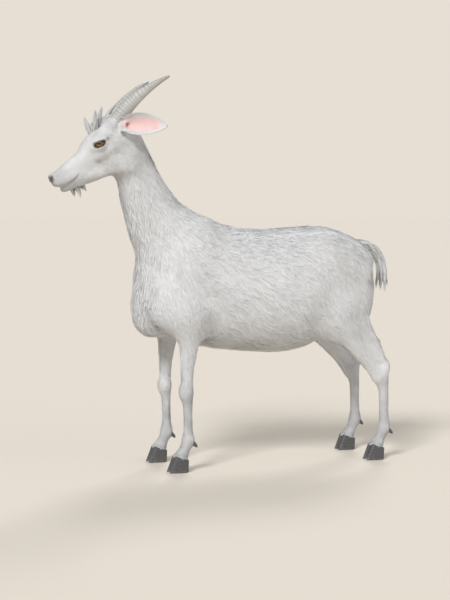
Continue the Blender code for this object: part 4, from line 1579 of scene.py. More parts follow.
@dataclass
class Skin:
    """The one skin of the goat: fine on the head, coarser on the body, joined round the neck."""

    head_step: float = 0.0018
    body_step: float = 0.0068
    seam_place: float = 0.300
    seam_half: float = 0.003

    def field(self) -> Form:
        """Work out the skin's own distance field.

        Returns:
            The field, in plan coordinates.
        """
        flesh, skull = Form(), Form()
        Trunk().masses(flesh)
        Neck().masses(flesh)
        for kind in (ForeLeg, HindLeg):
            for side in Side:
                kind(side).masses(flesh)
        Skull().masses(skull)
        flesh.add(skull, 0.03)
        Tail().masses(flesh)
        skin = Form()
        skin.add(Inset(flesh, coat_depth))
        for ear in EARS:
            base = ear.root + ear.way * 0.010
            skin.add(Ellipsoid(base, (0.013, 0.016, 0.015)), 0.014)
            skin.add(ear, 0.009)
            canal = [ear.root + ear.way * share + ear.face * rise for share, rise in
                     ((0.034, 0.012), (0.022, 0.006), (0.008, 0.002))]
            skin.carve(Limb([(*canal[0], 0.0062, 0.0062), (*canal[1], 0.0070, 0.0070),
                             (*canal[2], 0.0045, 0.0045)]), 0.006)
        for eye in EYES:
            skin.add(Ellipsoid(eye.centre, (eye.radius + eye.lid,) * 3), 0.007)
            brow = eye.centre + eye.gaze * 0.0085 + Vector((0, 0.001, 0.0118))
            skin.add(Ellipsoid(brow, (0.0075, 0.021, 0.0052), pitch=HEAD.tilt - 16), 0.007)
            skin.carve(LidOpening(eye), 0.0016)
            skin.carve(Ellipsoid(eye.centre, (eye.radius + 0.0004,) * 3), 0.0006)
        Skull().grooves(skin)
        for foot in FEET:
            skin.carve(foot, 0.004)
        return skin

    def shape(self) -> Mesh:
        """Mesh the head and the body apart and join them into one skin.

        Returns:
            The mesh, in plan coordinates.
        """
        field = self.field()
        axis = Neck().axis
        seam = Neck().base + axis * self.seam_place
        work = bmesh.new()
        for step, low, high, away in (
                (self.head_step, *HEAD_SPACE, -1),
                (self.body_step, (-0.165, -0.420, -0.010), (0.165, 0.490, 0.870), 1)):
            points, quads = polygonise(field, step, np.array(low), np.array(high))
            mesh = new_mesh("part", points, quads.tolist())
            with editing(mesh) as part:
                bmesh.ops.bisect_plane(part, geom=part.verts[:] + part.edges[:] + part.faces[:], dist=1e-6,
                                       plane_co=seam - axis * (away * self.seam_half),
                                       plane_no=axis * away, clear_outer=True)
            work.from_mesh(mesh)
            bpy.data.meshes.remove(mesh)
        rim = [edge for edge in work.edges if edge.is_boundary]
        bmesh.ops.bridge_loops(work, edges=rim)
        bmesh.ops.recalc_face_normals(work, faces=work.faces)
        work.normal_update()
        open_edges = sum(not edge.is_manifold for edge in work.edges)
        found = bpy.data.meshes.new("skin")
        work.to_mesh(found)
        work.free()
        log.info("skin has %d open edges", open_edges)
        return found

    def build(self, finish: Material) -> Mesh:
        """Make the skin.

        Args:
            finish: Its material.

        Returns:
            Its mesh in plan coordinates.
        """
        plan = self.shape()
        mesh = plan.copy()
        points = rows_of(mesh.vertices, "co", 3)
        for measure in (ear_hollow, nose_pad, lid_rim, lip_line):
            store(mesh, measure.__name__, measure(points))
        store(mesh, "coat_colour", MARKINGS.colour(points))
        mesh.vertices.foreach_set("co", (points + np.array(PLAN_TO_FRAME)).ravel())
        mesh.shade_smooth()
        legs = [f"leg_{pair.value}_{side.word}" for pair in Pair for side in Side]
        ears = [f"ear_{side.word}" for side in Side]
        add_piece("skin", mesh, finish, "coat", "trunk", "neck", "head", "tail", *legs, *ears)
        return plan


@dataclass
class Eye:
    """One eyeball with its cornea's bulge, its own X level and its own Z along the gaze."""

    place: EyePlace
    cornea: float = 0.0105
    bulge: float = 0.0009

    def build(self, finish: Material) -> None:
        """Make the eyeball.

        Args:
            finish: Its material.
        """
        word = self.place.side.word
        mesh = bpy.data.meshes.new("eye_" + word)
        with editing(mesh) as work:
            bmesh.ops.create_uvsphere(work, u_segments=48, v_segments=40, radius=self.place.radius - 0.0002)
            for vertex in work.verts:
                off = math.hypot(vertex.co.x, vertex.co.y)
                if vertex.co.z > 0 and off < self.cornea:
                    vertex.co.z += self.bulge * (0.5 + 0.5 * math.cos(math.pi * off / self.cornea))
        mesh.shade_smooth()
        gaze = self.place.gaze
        level = gaze.cross(Vector((0, 0, 1))).normalized()
        piece = add_piece("eyeball_" + word, mesh, finish, "eye", "eye_" + word)
        turn = Matrix((level, gaze.cross(level), gaze)).transposed().to_4x4()
        piece.matrix_world = Matrix.Translation(self.place.centre + PLAN_TO_FRAME) @ turn


@dataclass
class Horn:
    """One horn: it sweeps up and back, oval across, with growth rings that fade to the tip."""

    side: Side
    length: float = 0.210
    radius: float = 0.0205
    tip: float = 0.0028
    rise: tuple[float, float] = (60.0, 30.0)
    splay: tuple[float, float] = (0.16, 0.75)
    spans: int = 8
    rings: int = 23
    ring_height: float = 0.0017

    def path(self) -> Array:
        """Sweep the middle of the horn.

        Returns:
            Points along it.
        """
        sign = self.side.value
        points = [HEAD.at(0.022, -0.016, 0.026 * sign)]
        for number in range(1, self.spans + 1):
            share = number / self.spans
            rise = math.radians(self.rise[0] + (self.rise[1] - self.rise[0]) * share)
            splay = self.splay[0] + (self.splay[1] - self.splay[0]) * share ** 2
            way = Vector((sign * splay, math.cos(rise), math.sin(rise))).normalized()
            points.append(points[-1] + way * (self.length / self.spans))
        return curve_through(points, 14)

    def distance(self, points: Array) -> Array:
        """Measure from points to the horn's lower half.

        Args:
            points: Where to measure.

        Returns:
            Distances, negative inside.
        """
        path = self.path()[:40]
        away = np.linalg.norm(points[:, None, :] - path[None, ::5, :], axis=2).min(1)
        return away - self.radius

    def build(self, finish: Material) -> None:
        """Make the horn.

        Args:
            finish: Its material.
        """
        sides = 36
        path = self.path()
        count = len(path)
        share = np.linspace(0, 1, count)
        way = unit(np.gradient(path, axis=0))
        across = unit(np.cross(way, (0, 0, 1.0)))
        front = np.cross(across, way)
        turn = np.linspace(0, 2 * math.pi, sides, endpoint=False)
        phase = 2 * math.pi * self.rings * share ** 0.80
        phase = phase + 1.1 * np.sin(17 * share) + 0.7 * np.sin(41 * share + 1)
        phase = phase[:, None] + 0.35 * np.sin(turn + 5 * share[:, None])
        ridge = (0.5 + 0.5 * np.sin(phase)) ** 1.9
        uneven = 1 + 0.35 * np.sin(29 * share + 2) + 0.20 * np.sin(61 * share)
        strength = self.ring_height * uneven * (1 - share) ** 0.8 * fade(share, 1.0, 0.75)
        facing = 0.55 + 0.45 * np.sin(turn)[None, :]
        wobble = 0.0004 * np.sin(3 * turn[None, :] + 9 * share[:, None]) * (1 - share[:, None])
        radius = self.radius + (self.tip - self.radius) * share ** 1.5
        radius = radius[:, None] - strength[:, None] * (1 - ridge) * facing + wobble
        radius[-1] *= 0.35
        radius[-2] *= 0.80
        rings = (path[:, None, :] + across[:, None, :] * (0.86 * radius * np.cos(turn))[:, :, None]
                 + front[:, None, :] * (1.10 * radius * np.sin(turn))[:, :, None])
        groove = (1 - ridge) ** 2 * facing * (1 - share[:, None]) ** 0.5
        mesh = ring_mesh("horn_" + self.side.word, rings,
                         {"along": np.repeat(share[:, None], sides, 1),
                          "across": np.repeat(np.sin(turn)[None, :], count, 0), "groove": groove})
        add_piece("horn_piece_" + self.side.word, mesh, finish, "horn", "horn_" + self.side.word)


@dataclass
class Toe:
    """One half of a cloven foot."""

    foot: Foot
    half_of_foot: Side

    @property
    def name(self) -> str:
        """Which leg, then outer or inner, seen from the goat's middle."""
        which = "outer" if self.half_of_foot is self.foot.side else "inner"
        return f"{self.foot.pair.value}_{self.foot.side.word}_{which}"


@dataclass
class Claw(Toe):
    """One claw of a hoof: flat sole, sloping wall with growth rings, top falling to the heel."""

    half_width: float = 0.0112
    toe_slope: float = 0.0180
    heel_slope: float = -0.0010
    spread: float = 0.0119

    def build(self, finish: Material) -> None:
        """Make the claw.

        Args:
            finish: Its material.
        """
        foot, outward = self.foot, self.half_of_foot.value
        sides, count = 44, 26
        turn = np.linspace(0, 2 * math.pi, sides, endpoint=False)[None, :]
        share = np.concatenate([[0.0], np.linspace(0, 1, count)])[:, None]
        cosine, sine = np.cos(turn), np.sin(turn)
        ahead = np.maximum(0.0, -sine)
        half = self.half_width * (0.97 + 0.07 * np.sin(math.pi * np.minimum(share * 1.4, 1.0)))
        coronet = np.where(sine < 0, foot.toe, foot.heel)
        reach = coronet + np.where(sine < 0, self.toe_slope, self.heel_slope) * share
        ring = 0.00018 * np.sin(2 * math.pi * 7 * share ** 0.9 + 0.8 * cosine) * fade(share, 0.0, 0.15)
        x = (half + ring) * cosine * (1 - (0.10 + 0.22 * share) * ahead ** 2)
        y = (reach + ring) * sine
        top = foot.front - math.tan(foot.slope) * (foot.toe + coronet * sine)
        z = top * (1 - share)
        x[0], y[0] = x[0] * 0.86, y[0] * 0.86
        x[-1], y[-1] = x[-1] - 0.0007 * cosine[0], y[-1] - 0.0007 * sine[0]
        middle_x, middle_y = foot.middle
        rings = np.stack([middle_x + outward * self.spread + x + outward * 0.0018 * ahead * share,
                          middle_y + y, z], -1)
        around = np.repeat(np.linspace(0, 1, sides)[None, :], count + 1, 0)
        mesh = ring_mesh("claw_" + self.name, rings, {"along": np.repeat(share, sides, 1),
                                                      "across": np.abs(around - 0.5) * 2})
        add_piece("claw_" + self.name, mesh, finish, "hoof", "hoof_" + self.name)


@dataclass
class Dewclaw(Toe):
    """Small blunt claw behind the fetlock, pointing down and back."""

    length: float = 0.017
    radius: float = 0.0062
    narrowing: float = 0.0022

    def build(self, finish: Material) -> None:
        """Make the dewclaw.

        Args:
            finish: Its material.
        """
        outward = self.half_of_foot.value
        way = Vector((outward * 0.25, 0.62, -0.74)).normalized()
        centre = self.foot.fetlock + Vector((outward * 0.0105, 0.0165, -0.0100))
        wide = way.cross(Vector((0, 0, 1))).normalized()
        high = wide.cross(way)
        sides, count = 20, 14
        turn = np.linspace(0, 2 * math.pi, sides, endpoint=False)
        share = np.linspace(0, 1, count)
        radius = self.radius - self.narrowing * share ** 2
        radius *= np.sqrt(np.clip(1 - (np.maximum(share - 0.62, 0) / 0.40) ** 2, 0.02, 1))
        radius += 0.00022 * np.sin(share * 2 * math.pi * 4)
        middle = np.array(centre)[None, :] + np.array(way)[None, :] * ((share - 0.5) * self.length)[:, None]
        rings = (middle[:, None, :] + np.array(wide) * (radius[:, None] * np.cos(turn))[:, :, None]
                 + np.array(high) * (0.85 * radius[:, None] * np.sin(turn))[:, :, None])
        mesh = ring_mesh("spur_" + self.name, rings, {"along": np.repeat(share[:, None], sides, 1),
                                                      "across": np.repeat(np.cos(turn)[None, :], count, 0)})
        add_piece("spur_" + self.name, mesh, finish, "hoof", "dewclaw_" + self.name)


# ---- the comb


@dataclass(frozen=True)
class Stroke:
    """One stroke of the comb: near its line the hair lies this way and has this size."""

    start: Sequence[float]
    end: Sequence[float]
    reach: float
    way: Sequence[float]
    length: float
    width: float
    lift: float


def on_face(start: Row, end: Row, reach: float, way: Row, length: float, width: float, lift: float) -> Stroke:
    """Stroke given along the face, above it and to the side."""
    turned = HEAD.along * way[0] + HEAD.above * way[1] + Vector((way[2], 0, 0))
    return Stroke(HEAD.at(*start), HEAD.at(*end), reach, turned, length, width, lift)


LEFT_EAR = next(ear for ear in EARS if ear.side is Side.LEFT)

EAR_STROKE = Stroke(LEFT_EAR.root, LEFT_EAR.root + LEFT_EAR.way * LEFT_EAR.length, 0.022,
                    LEFT_EAR.way, 0.0048, 0.0011, 6)

# Start, end, reach, way, length, width, lift in degrees; the left side stands for both.
STROKES = [Stroke(*row) for row in (
    ((0.01, -0.14, 0.7), (0.01, 0.3, 0.68), 0.07, (0.25, 0.93, -0.1), 0.028, 0.002, 8),  # back
    ((0.1, -0.12, 0.6), (0.12, 0.22, 0.6), 0.085, (0.05, 0.8, -0.55), 0.0275, 0.002, 8),  # side
    ((0.135, -0.08, 0.45), (0.14, 0.16, 0.46), 0.085, (0.0, 0.72, -0.7), 0.029, 0.002, 9),  # low side
    ((0.06, -0.14, 0.335), (0.06, 0.17, 0.325), 0.065, (0.0, 0.95, -0.25), 0.033, 0.0021, 14),  # belly
    ((0.09, -0.24, 0.58), (0.1, -0.22, 0.46), 0.075, (0.05, 0.4, -0.9), 0.024, 0.0019, 9),  # shoulder
    ((0.03, -0.33, 0.5), (0.04, -0.31, 0.41), 0.06, (0.15, 0.1, -1.0), 0.03, 0.002, 13),  # chest
    ((0.05, 0.3, 0.65), (0.08, 0.28, 0.58), 0.07, (0.15, 0.75, -0.6), 0.0264, 0.002, 8),  # croup
    ((0.11, 0.27, 0.5), (0.115, 0.25, 0.43), 0.07, (0.0, 0.3, -0.95), 0.023, 0.0019, 9),  # thigh
    ((0.05, 0.37, 0.54), (0.07, 0.37, 0.42), 0.055, (0.05, 0.15, -1.0), 0.031, 0.002, 13),  # buttock
    ((0.08, 0.18, 0.37), (0.08, 0.2, 0.4), 0.045, (0.0, 0.55, -0.85), 0.025, 0.002, 11),  # fold
    ((0.087, -0.2, 0.39), (0.087, -0.2, 0.27), 0.045, (0.0, 0.12, -1.0), 0.014, 0.0016, 8),  # forearm
    ((0.087, -0.205, 0.23), (0.087, -0.2, 0.1), 0.035, (0.0, 0.05, -1.0), 0.0085, 0.0013, 7),  # cannon
    ((0.087, -0.21, 0.075), (0.087, -0.22, 0.045), 0.028, (0.0, -0.25, -1.0), 0.007, 0.0012, 9),  # pastern
    ((0.09, 0.29, 0.37), (0.091, 0.36, 0.29), 0.05, (0.0, 0.38, -0.92), 0.016, 0.0017, 8),  # gaskin
    ((0.091, 0.39, 0.25), (0.091, 0.402, 0.11), 0.035, (0.0, 0.05, -1.0), 0.0085, 0.0013, 7),  # cannon
    ((0.091, 0.39, 0.075), (0.091, 0.38, 0.045), 0.028, (0.0, -0.25, -1.0), 0.007, 0.0012, 9),  # pastern
    ((0.05, -0.19, 0.7), (0.045, -0.34, 0.9), 0.055, (0.02, 0.45, -0.88), 0.027, 0.0019, 8),  # neck
    ((0.01, -0.13, 0.74), (0.01, -0.3, 0.96), 0.05, (0.1, 0.72, -0.68), 0.031, 0.002, 12),  # crest
    ((0.01, -0.3, 0.62), (0.01, -0.4, 0.84), 0.05, (0.08, 0.15, -1.0), 0.031, 0.002, 12),  # throat
    ((0.0, 0.35, 0.64), (0.0, 0.4, 0.63), 0.03, (0.05, 0.9, -0.35), 0.0308, 0.0023, 12),  # tail root
    ((0.0, 0.41, 0.61), (0.0, 0.434, 0.56), 0.03, (0.1, 0.35, -0.93), 0.02, 0.0024, 16),  # tail
)] + [EAR_STROKE] + [on_face(*row) for row in (
    ((0.02, 0.0, 0.0), (-0.02, -0.02, 0.0), 0.03, (-0.9, 0.3, 0.1), 0.0135, 0.0016, 12),  # poll
    ((0.085, 0.0, 0.01), (0.11, -0.004, 0.01), 0.028, (0.8, 0.0, 0.35), 0.0065, 0.001, 7),  # forehead
    ((0.14, -0.015, 0.01), (0.23, -0.024, 0.01), 0.028, (1.0, 0.0, 0.15), 0.0045, 0.0009, 6),  # nose
    ((0.235, -0.05, 0.02), (0.22, -0.06, 0.02), 0.018, (0.2, -1.0, 0.1), 0.0032, 0.0007, 8),  # lip
    ((0.13, -0.055, 0.036), (0.19, -0.05, 0.03), 0.028, (0.3, -0.95, 0.1), 0.0047, 0.0009, 6),  # muzzle
    ((0.07, -0.075, 0.045), (0.1, -0.075, 0.04), 0.032, (-0.55, -0.8, 0.1), 0.0065, 0.001, 7),  # cheek
    ((0.09, -0.02, 0.055), (0.09, -0.05, 0.055), 0.018, (-0.5, -0.75, 0.2), 0.0034, 0.0007, 6),  # eye
    ((0.03, -0.05, 0.05), (0.02, -0.08, 0.045), 0.03, (-0.8, -0.6, 0.1), 0.0081, 0.0012, 8),  # temple
    ((0.06, -0.12, 0.02), (0.16, -0.095, 0.01), 0.03, (-0.85, -0.35, 0.2), 0.009, 0.0013, 9),  # jaw
    ((0.23, -0.085, 0.0), (0.2, -0.088, 0.0), 0.02, (-0.6, -0.8, 0.0), 0.0065, 0.001, 11),  # chin
)]


class Comb:
    """The lie and size of the coat at any place, blended from its strokes."""

    def __init__(self, strokes: Sequence[Stroke]) -> None:
        """Take the strokes of the left side.

        Args:
            strokes: The strokes, in plan coordinates.
        """
        self.strokes = strokes
        self.rows = np.array([[*stroke.way, stroke.length, stroke.width, stroke.lift] for stroke in strokes])
        self.rows[:, :3] = unit(self.rows[:, :3])

    def read(self, points: Array) -> Array:
        """Read the comb.

        Args:
            points: Places in plan coordinates.

        Returns:
            Way, length, width and lift at each point, as rows of six.
        """
        mirrored = points.copy()
        mirrored[:, 0] = np.abs(mirrored[:, 0])
        far = np.empty((len(points), len(self.strokes)))
        for index, stroke in enumerate(self.strokes):
            start, end = np.array(stroke.start), np.array(stroke.end)
            span = end - start
            t = np.clip((mirrored - start) @ span / max(span @ span, 1e-9), 0, 1)
            away = np.linalg.norm(mirrored - start - t[:, None] * span, axis=1)
            far[:, index] = (away / stroke.reach) ** 2
        share = np.exp(-(far - far.min(1)[:, None]))
        found = share @ self.rows / share.sum(1)[:, None]
        on_ear = ear_share(points)[:, None]
        found += (self.rows[self.strokes.index(EAR_STROKE)] - found) * on_ear
        found[:, 0] *= np.sign(points[:, 0])
        return found


class Patch(Enum):
    """Parts of the coat, each a piece of its own."""

    HEAD_LEFT = "coat_head_left"
    HEAD_RIGHT = "coat_head_right"
    EARS = "coat_ears"
    NECK_LEFT = "coat_neck_left"
    NECK_RIGHT = "coat_neck_right"
    SHOULDER_LEFT = "coat_shoulder_left"
    SHOULDER_RIGHT = "coat_shoulder_right"
    SIDE_LEFT = "coat_side_left"
    SIDE_RIGHT = "coat_side_right"
    RUMP_LEFT = "coat_rump_left"
    RUMP_RIGHT = "coat_rump_right"
    FORE_LEGS = "coat_fore_legs"
    HIND_LEGS = "coat_hind_legs"
    TAIL = "coat_tail"


PATCHES = list(Patch)


def patch_at(points: Array) -> Array:
    """Tell which part of the coat points belong to.

    Args:
        points: Places in plan coordinates.

    Returns:
        Number of the part of each point.
    """
    x, y, z = points.T
    right = (x < 0).astype(int)
    up = (points - np.array(Neck().base)) @ np.array(Neck().axis)
    found = PATCHES.index(Patch.SIDE_LEFT) + right
    for patch, inside in ((Patch.SHOULDER_LEFT, y < -0.09), (Patch.RUMP_LEFT, y > 0.17),
                          (Patch.NECK_LEFT, (up > 0.13) & (z > 0.60)),
                          (Patch.FORE_LEGS, (z < 0.34) & (y < -0.10)),
                          (Patch.HIND_LEGS, (z < 0.36) & (y > 0.22)),
                          (Patch.TAIL, (y > 0.385) & (z > 0.50) & (np.abs(x) < 0.04)),
                          (Patch.HEAD_LEFT, head_share(points) > 0.5)):
        other_side = right if patch.value.endswith("left") else 0
        found = np.where(inside, PATCHES.index(patch) + other_side, found)
    for ear in EARS:
        share = ear.local(points)[0]
        found = np.where((ear.distance(points) < 0.004) & (share > 0.16), PATCHES.index(Patch.EARS), found)
    return found


# ---- strands of hair as solids


@dataclass
class Roots:
    """Where hair grows out of the skin, in plan coordinates."""

    points: Array
    normals: Array
    combed: Array

    def only(self, chosen: Array) -> "Roots":
        """The roots that a mask or a list of numbers chooses."""
        return Roots(self.points[chosen], self.normals[chosen], self.combed[chosen])


@dataclass
class Strands:
    """Solid strands: three-sided rings along a path that ends in a point, shaded softly as one coat."""

    soft: float = 0.72
    lean: float = 0.34
    patch: float = 0.003
    parts: dict[str, list[Array]] = field(default_factory=lambda: defaultdict(list))
    count: int = 0

    def add(self, path: Array, wide: Array, facing: Array, half: Array, thick: Array,
            colours: Array, marks: Array) -> None:
        """Add strands.

        Args:
            path: Middle of each ring and then the tip, by strand, ring and coordinate.
            wide: Direction across each strand.
            facing: Direction out of the coat, which the strand is shaded by.
            half: Half width by strand and ring.
            thick: Height by strand and ring.
            colours: Colour of each strand.
            marks: Place of each strand on the unwrapped skin.
        """
        number, rings = path.shape[0], path.shape[1] - 1
        each = rings * 3 + 1
        way = unit(np.gradient(path, axis=1)[:, :rings])
        side = wide[:, None, :] - way * (wide[:, None, :] * way).sum(2, keepdims=True)
        side = unit(side)
        rise = np.cross(side, way)
        middle, half, thick = path[:, :rings], half[:, :, None], thick[:, :, None]
        block = np.stack([middle - side * half, middle + side * half, middle + rise * thick], 2)
        points = np.concatenate([block.reshape(number, -1, 3), path[:, rings:]], 1)
        edges, last = ((0, 1), (1, 2), (2, 0)), 3 * rings - 3
        corners = [(0, 1, 2)]
        corners += [(ring + a, ring + 3 + a, ring + 3 + b, ring + b)
                    for ring in range(0, last, 3) for a, b in edges]
        corners += [(last + a, last + 3, last + b) for a, b in edges]
        sizes = [len(corner) for corner in corners]
        flat = np.concatenate([np.array(corner) for corner in corners])
        out = self.soft * facing[:, None, :] + (1 - self.soft) * rise
        upper = np.stack([out - self.lean * side, out + self.lean * side, out], 2).reshape(number, -1, 3)
        upper = np.concatenate([upper, out[:, -1:]], 1)
        under = np.concatenate([np.repeat(-rise, 3, 1), -rise[:, -1:]], 1)
        hidden = np.repeat([index == 0 or index % 3 == 1 for index in range(len(corners))], sizes)
        faced = np.where(hidden[None, :, None], under[:, flat], upper[:, flat])
        faced[:, :3] = -way[:, :1]
        start = self.count + np.arange(number) * each
        along, across = np.arange(rings) / rings, np.tile([-1.0, 1.0, 0.0], rings)
        for name, rows in (("points", points.reshape(-1, 3)), ("loops", (start[:, None] + flat).ravel()),
                           ("sizes", np.tile(sizes, number)), ("normals", unit(faced).reshape(-1, 3)),
                           ("along", np.tile(np.append(np.repeat(along, 3), 1.0), number)),
                           ("across", np.tile(np.append(across, 0.0), number)),
                           ("colours", np.repeat(colours, each, 0)), ("marks", np.repeat(marks, each, 0))):
            self.parts[name].append(rows)
        self.count += number * each

    def mesh(self, name: str) -> Mesh:
        """Make a mesh of all the strands, with the map OFBake.

        Args:
            name: The mesh's name.

        Returns:
            The mesh, in frame coordinates.
        """
        found = {name: np.concatenate(rows) for name, rows in self.parts.items()}
        points, loops = found["points"] + np.array(PLAN_TO_FRAME), found["loops"].astype(np.int32)
        starts = np.concatenate([[0], np.cumsum(found["sizes"])[:-1]]).astype(np.int32)
        mesh = bpy.data.meshes.new(name)
        for items, label, rows in ((mesh.vertices, "co", points.astype(np.float32)),
                                   (mesh.loops, "vertex_index", loops),
                                   (mesh.polygons, "loop_start", starts)):
            items.add(len(rows))
            items.foreach_set(label, rows.ravel())
        mesh.update(calc_edges=True)
        for label, part in (("along", "along"), ("across", "across"), ("coat_colour", "colours")):
            store(mesh, label, found[part])
        place = np.stack([found["across"] / 2, found["along"] - 0.5], 1) * self.patch + found["marks"]
        layer = mesh.uv_layers.new(name="OFBake")
        layer.data.foreach_set("uv", place[loops].astype(np.float32).ravel())
        mesh.normals_split_custom_set(found["normals"].astype(np.float32))
        return mesh


class Unwrap:
    """The skin's own shape, unwrapped part by part, to find a root's place on the map OFBake."""

    def __init__(self, field_of_skin: Form) -> None:
        """Unwrap a coarse copy of the skin for every part of the coat.

        Args:
            field_of_skin: The skin's field.
        """
        meshes = []
        for step, low, high in ((0.007, *HEAD_SPACE),
                                (0.012, (-0.165, -0.420, -0.010), (0.165, 0.490, 0.960))):
            meshes.append(polygonise(field_of_skin, step, np.array(low), np.array(high)))
        self.trees: list[tuple[BVHTree, Array, Array] | None] = []
        for number, patch in enumerate(PATCHES):
            points, quads = meshes[0 if patch in (Patch.HEAD_LEFT, Patch.HEAD_RIGHT, Patch.EARS) else 1]
            own = patch_at(points[quads].mean(1)) == number
            self.trees.append(self.unwrap(points, quads[own], patch.value))

    def unwrap(self, points: Array, quads: Array, name: str) -> tuple[BVHTree, Array, Array]:
        """Unwrap some of the faces.

        Args:
            points: The copy's points.
            quads: The faces of one part.
            name: What the part is called.

        Returns:
            A search tree of its triangles, their corners and the corners' places on the map.
        """
        used, renamed = np.unique(quads, return_inverse=True)
        mesh = new_mesh(name + "_unwrap", points[used], renamed.reshape(quads.shape).tolist())
        holder = bpy.data.objects.new(name + "_unwrap", mesh)
        bpy.context.scene.collection.objects.link(holder)
        bpy.ops.object.select_all(action="DESELECT")
        bpy.context.view_layer.objects.active = holder
        holder.select_set(True)
        bpy.ops.object.mode_set(mode="EDIT")
        bpy.ops.mesh.select_all(action="SELECT")
        bpy.ops.uv.smart_project(angle_limit=math.radians(66), island_margin=0.01)
        bpy.ops.object.mode_set(mode="OBJECT")
        places = rows_of(mesh.uv_layers.active.data, "uv", 2).reshape(-1, 4, 2)
        corners = points[used][rows_of(mesh.loops, "vertex_index", 1, np.int32)].reshape(-1, 4, 3)
        bpy.data.objects.remove(holder)
        bpy.data.meshes.remove(mesh)
        triangles = np.concatenate([corners[:, [0, 1, 2]], corners[:, [0, 2, 3]]])
        flat = np.concatenate([places[:, [0, 1, 2]], places[:, [0, 2, 3]]])
        tree = BVHTree.FromPolygons(triangles.reshape(-1, 3).tolist(),
                                    np.arange(len(triangles) * 3).reshape(-1, 3).tolist())
        return tree, triangles, flat

    def places(self, points: Array, patch: Patch) -> Array:
        """Find roots on the map.

        Args:
            points: The roots.
            patch: The part of the coat that they grow in.

        Returns:
            The place of each root on the map.
        """
        tree, triangles, flat = self.trees[PATCHES.index(patch)]
        hits = [tree.find_nearest(point) for point in points.tolist()]
        near = np.array([hit[0] for hit in hits])
        index = np.array([hit[2] for hit in hits])
        a, b, c = triangles[index].transpose(1, 0, 2)
        edge, other, off = b - a, c - a, near - a
        ee, eo, oo = (edge * edge).sum(1), (edge * other).sum(1), (other * other).sum(1)
        fe, fo = (off * edge).sum(1), (off * other).sum(1)
        scale = np.maximum(ee * oo - eo * eo, 1e-16)
        v, w = (oo * fe - eo * fo) / scale, (ee * fo - eo * fe) / scale
        share = np.clip(np.stack([1 - v - w, v, w], 1), 0, 1)
        share /= share.sum(1)[:, None]
        return 0.01 + 0.98 * (flat[index] * share[:, :, None]).sum(1)


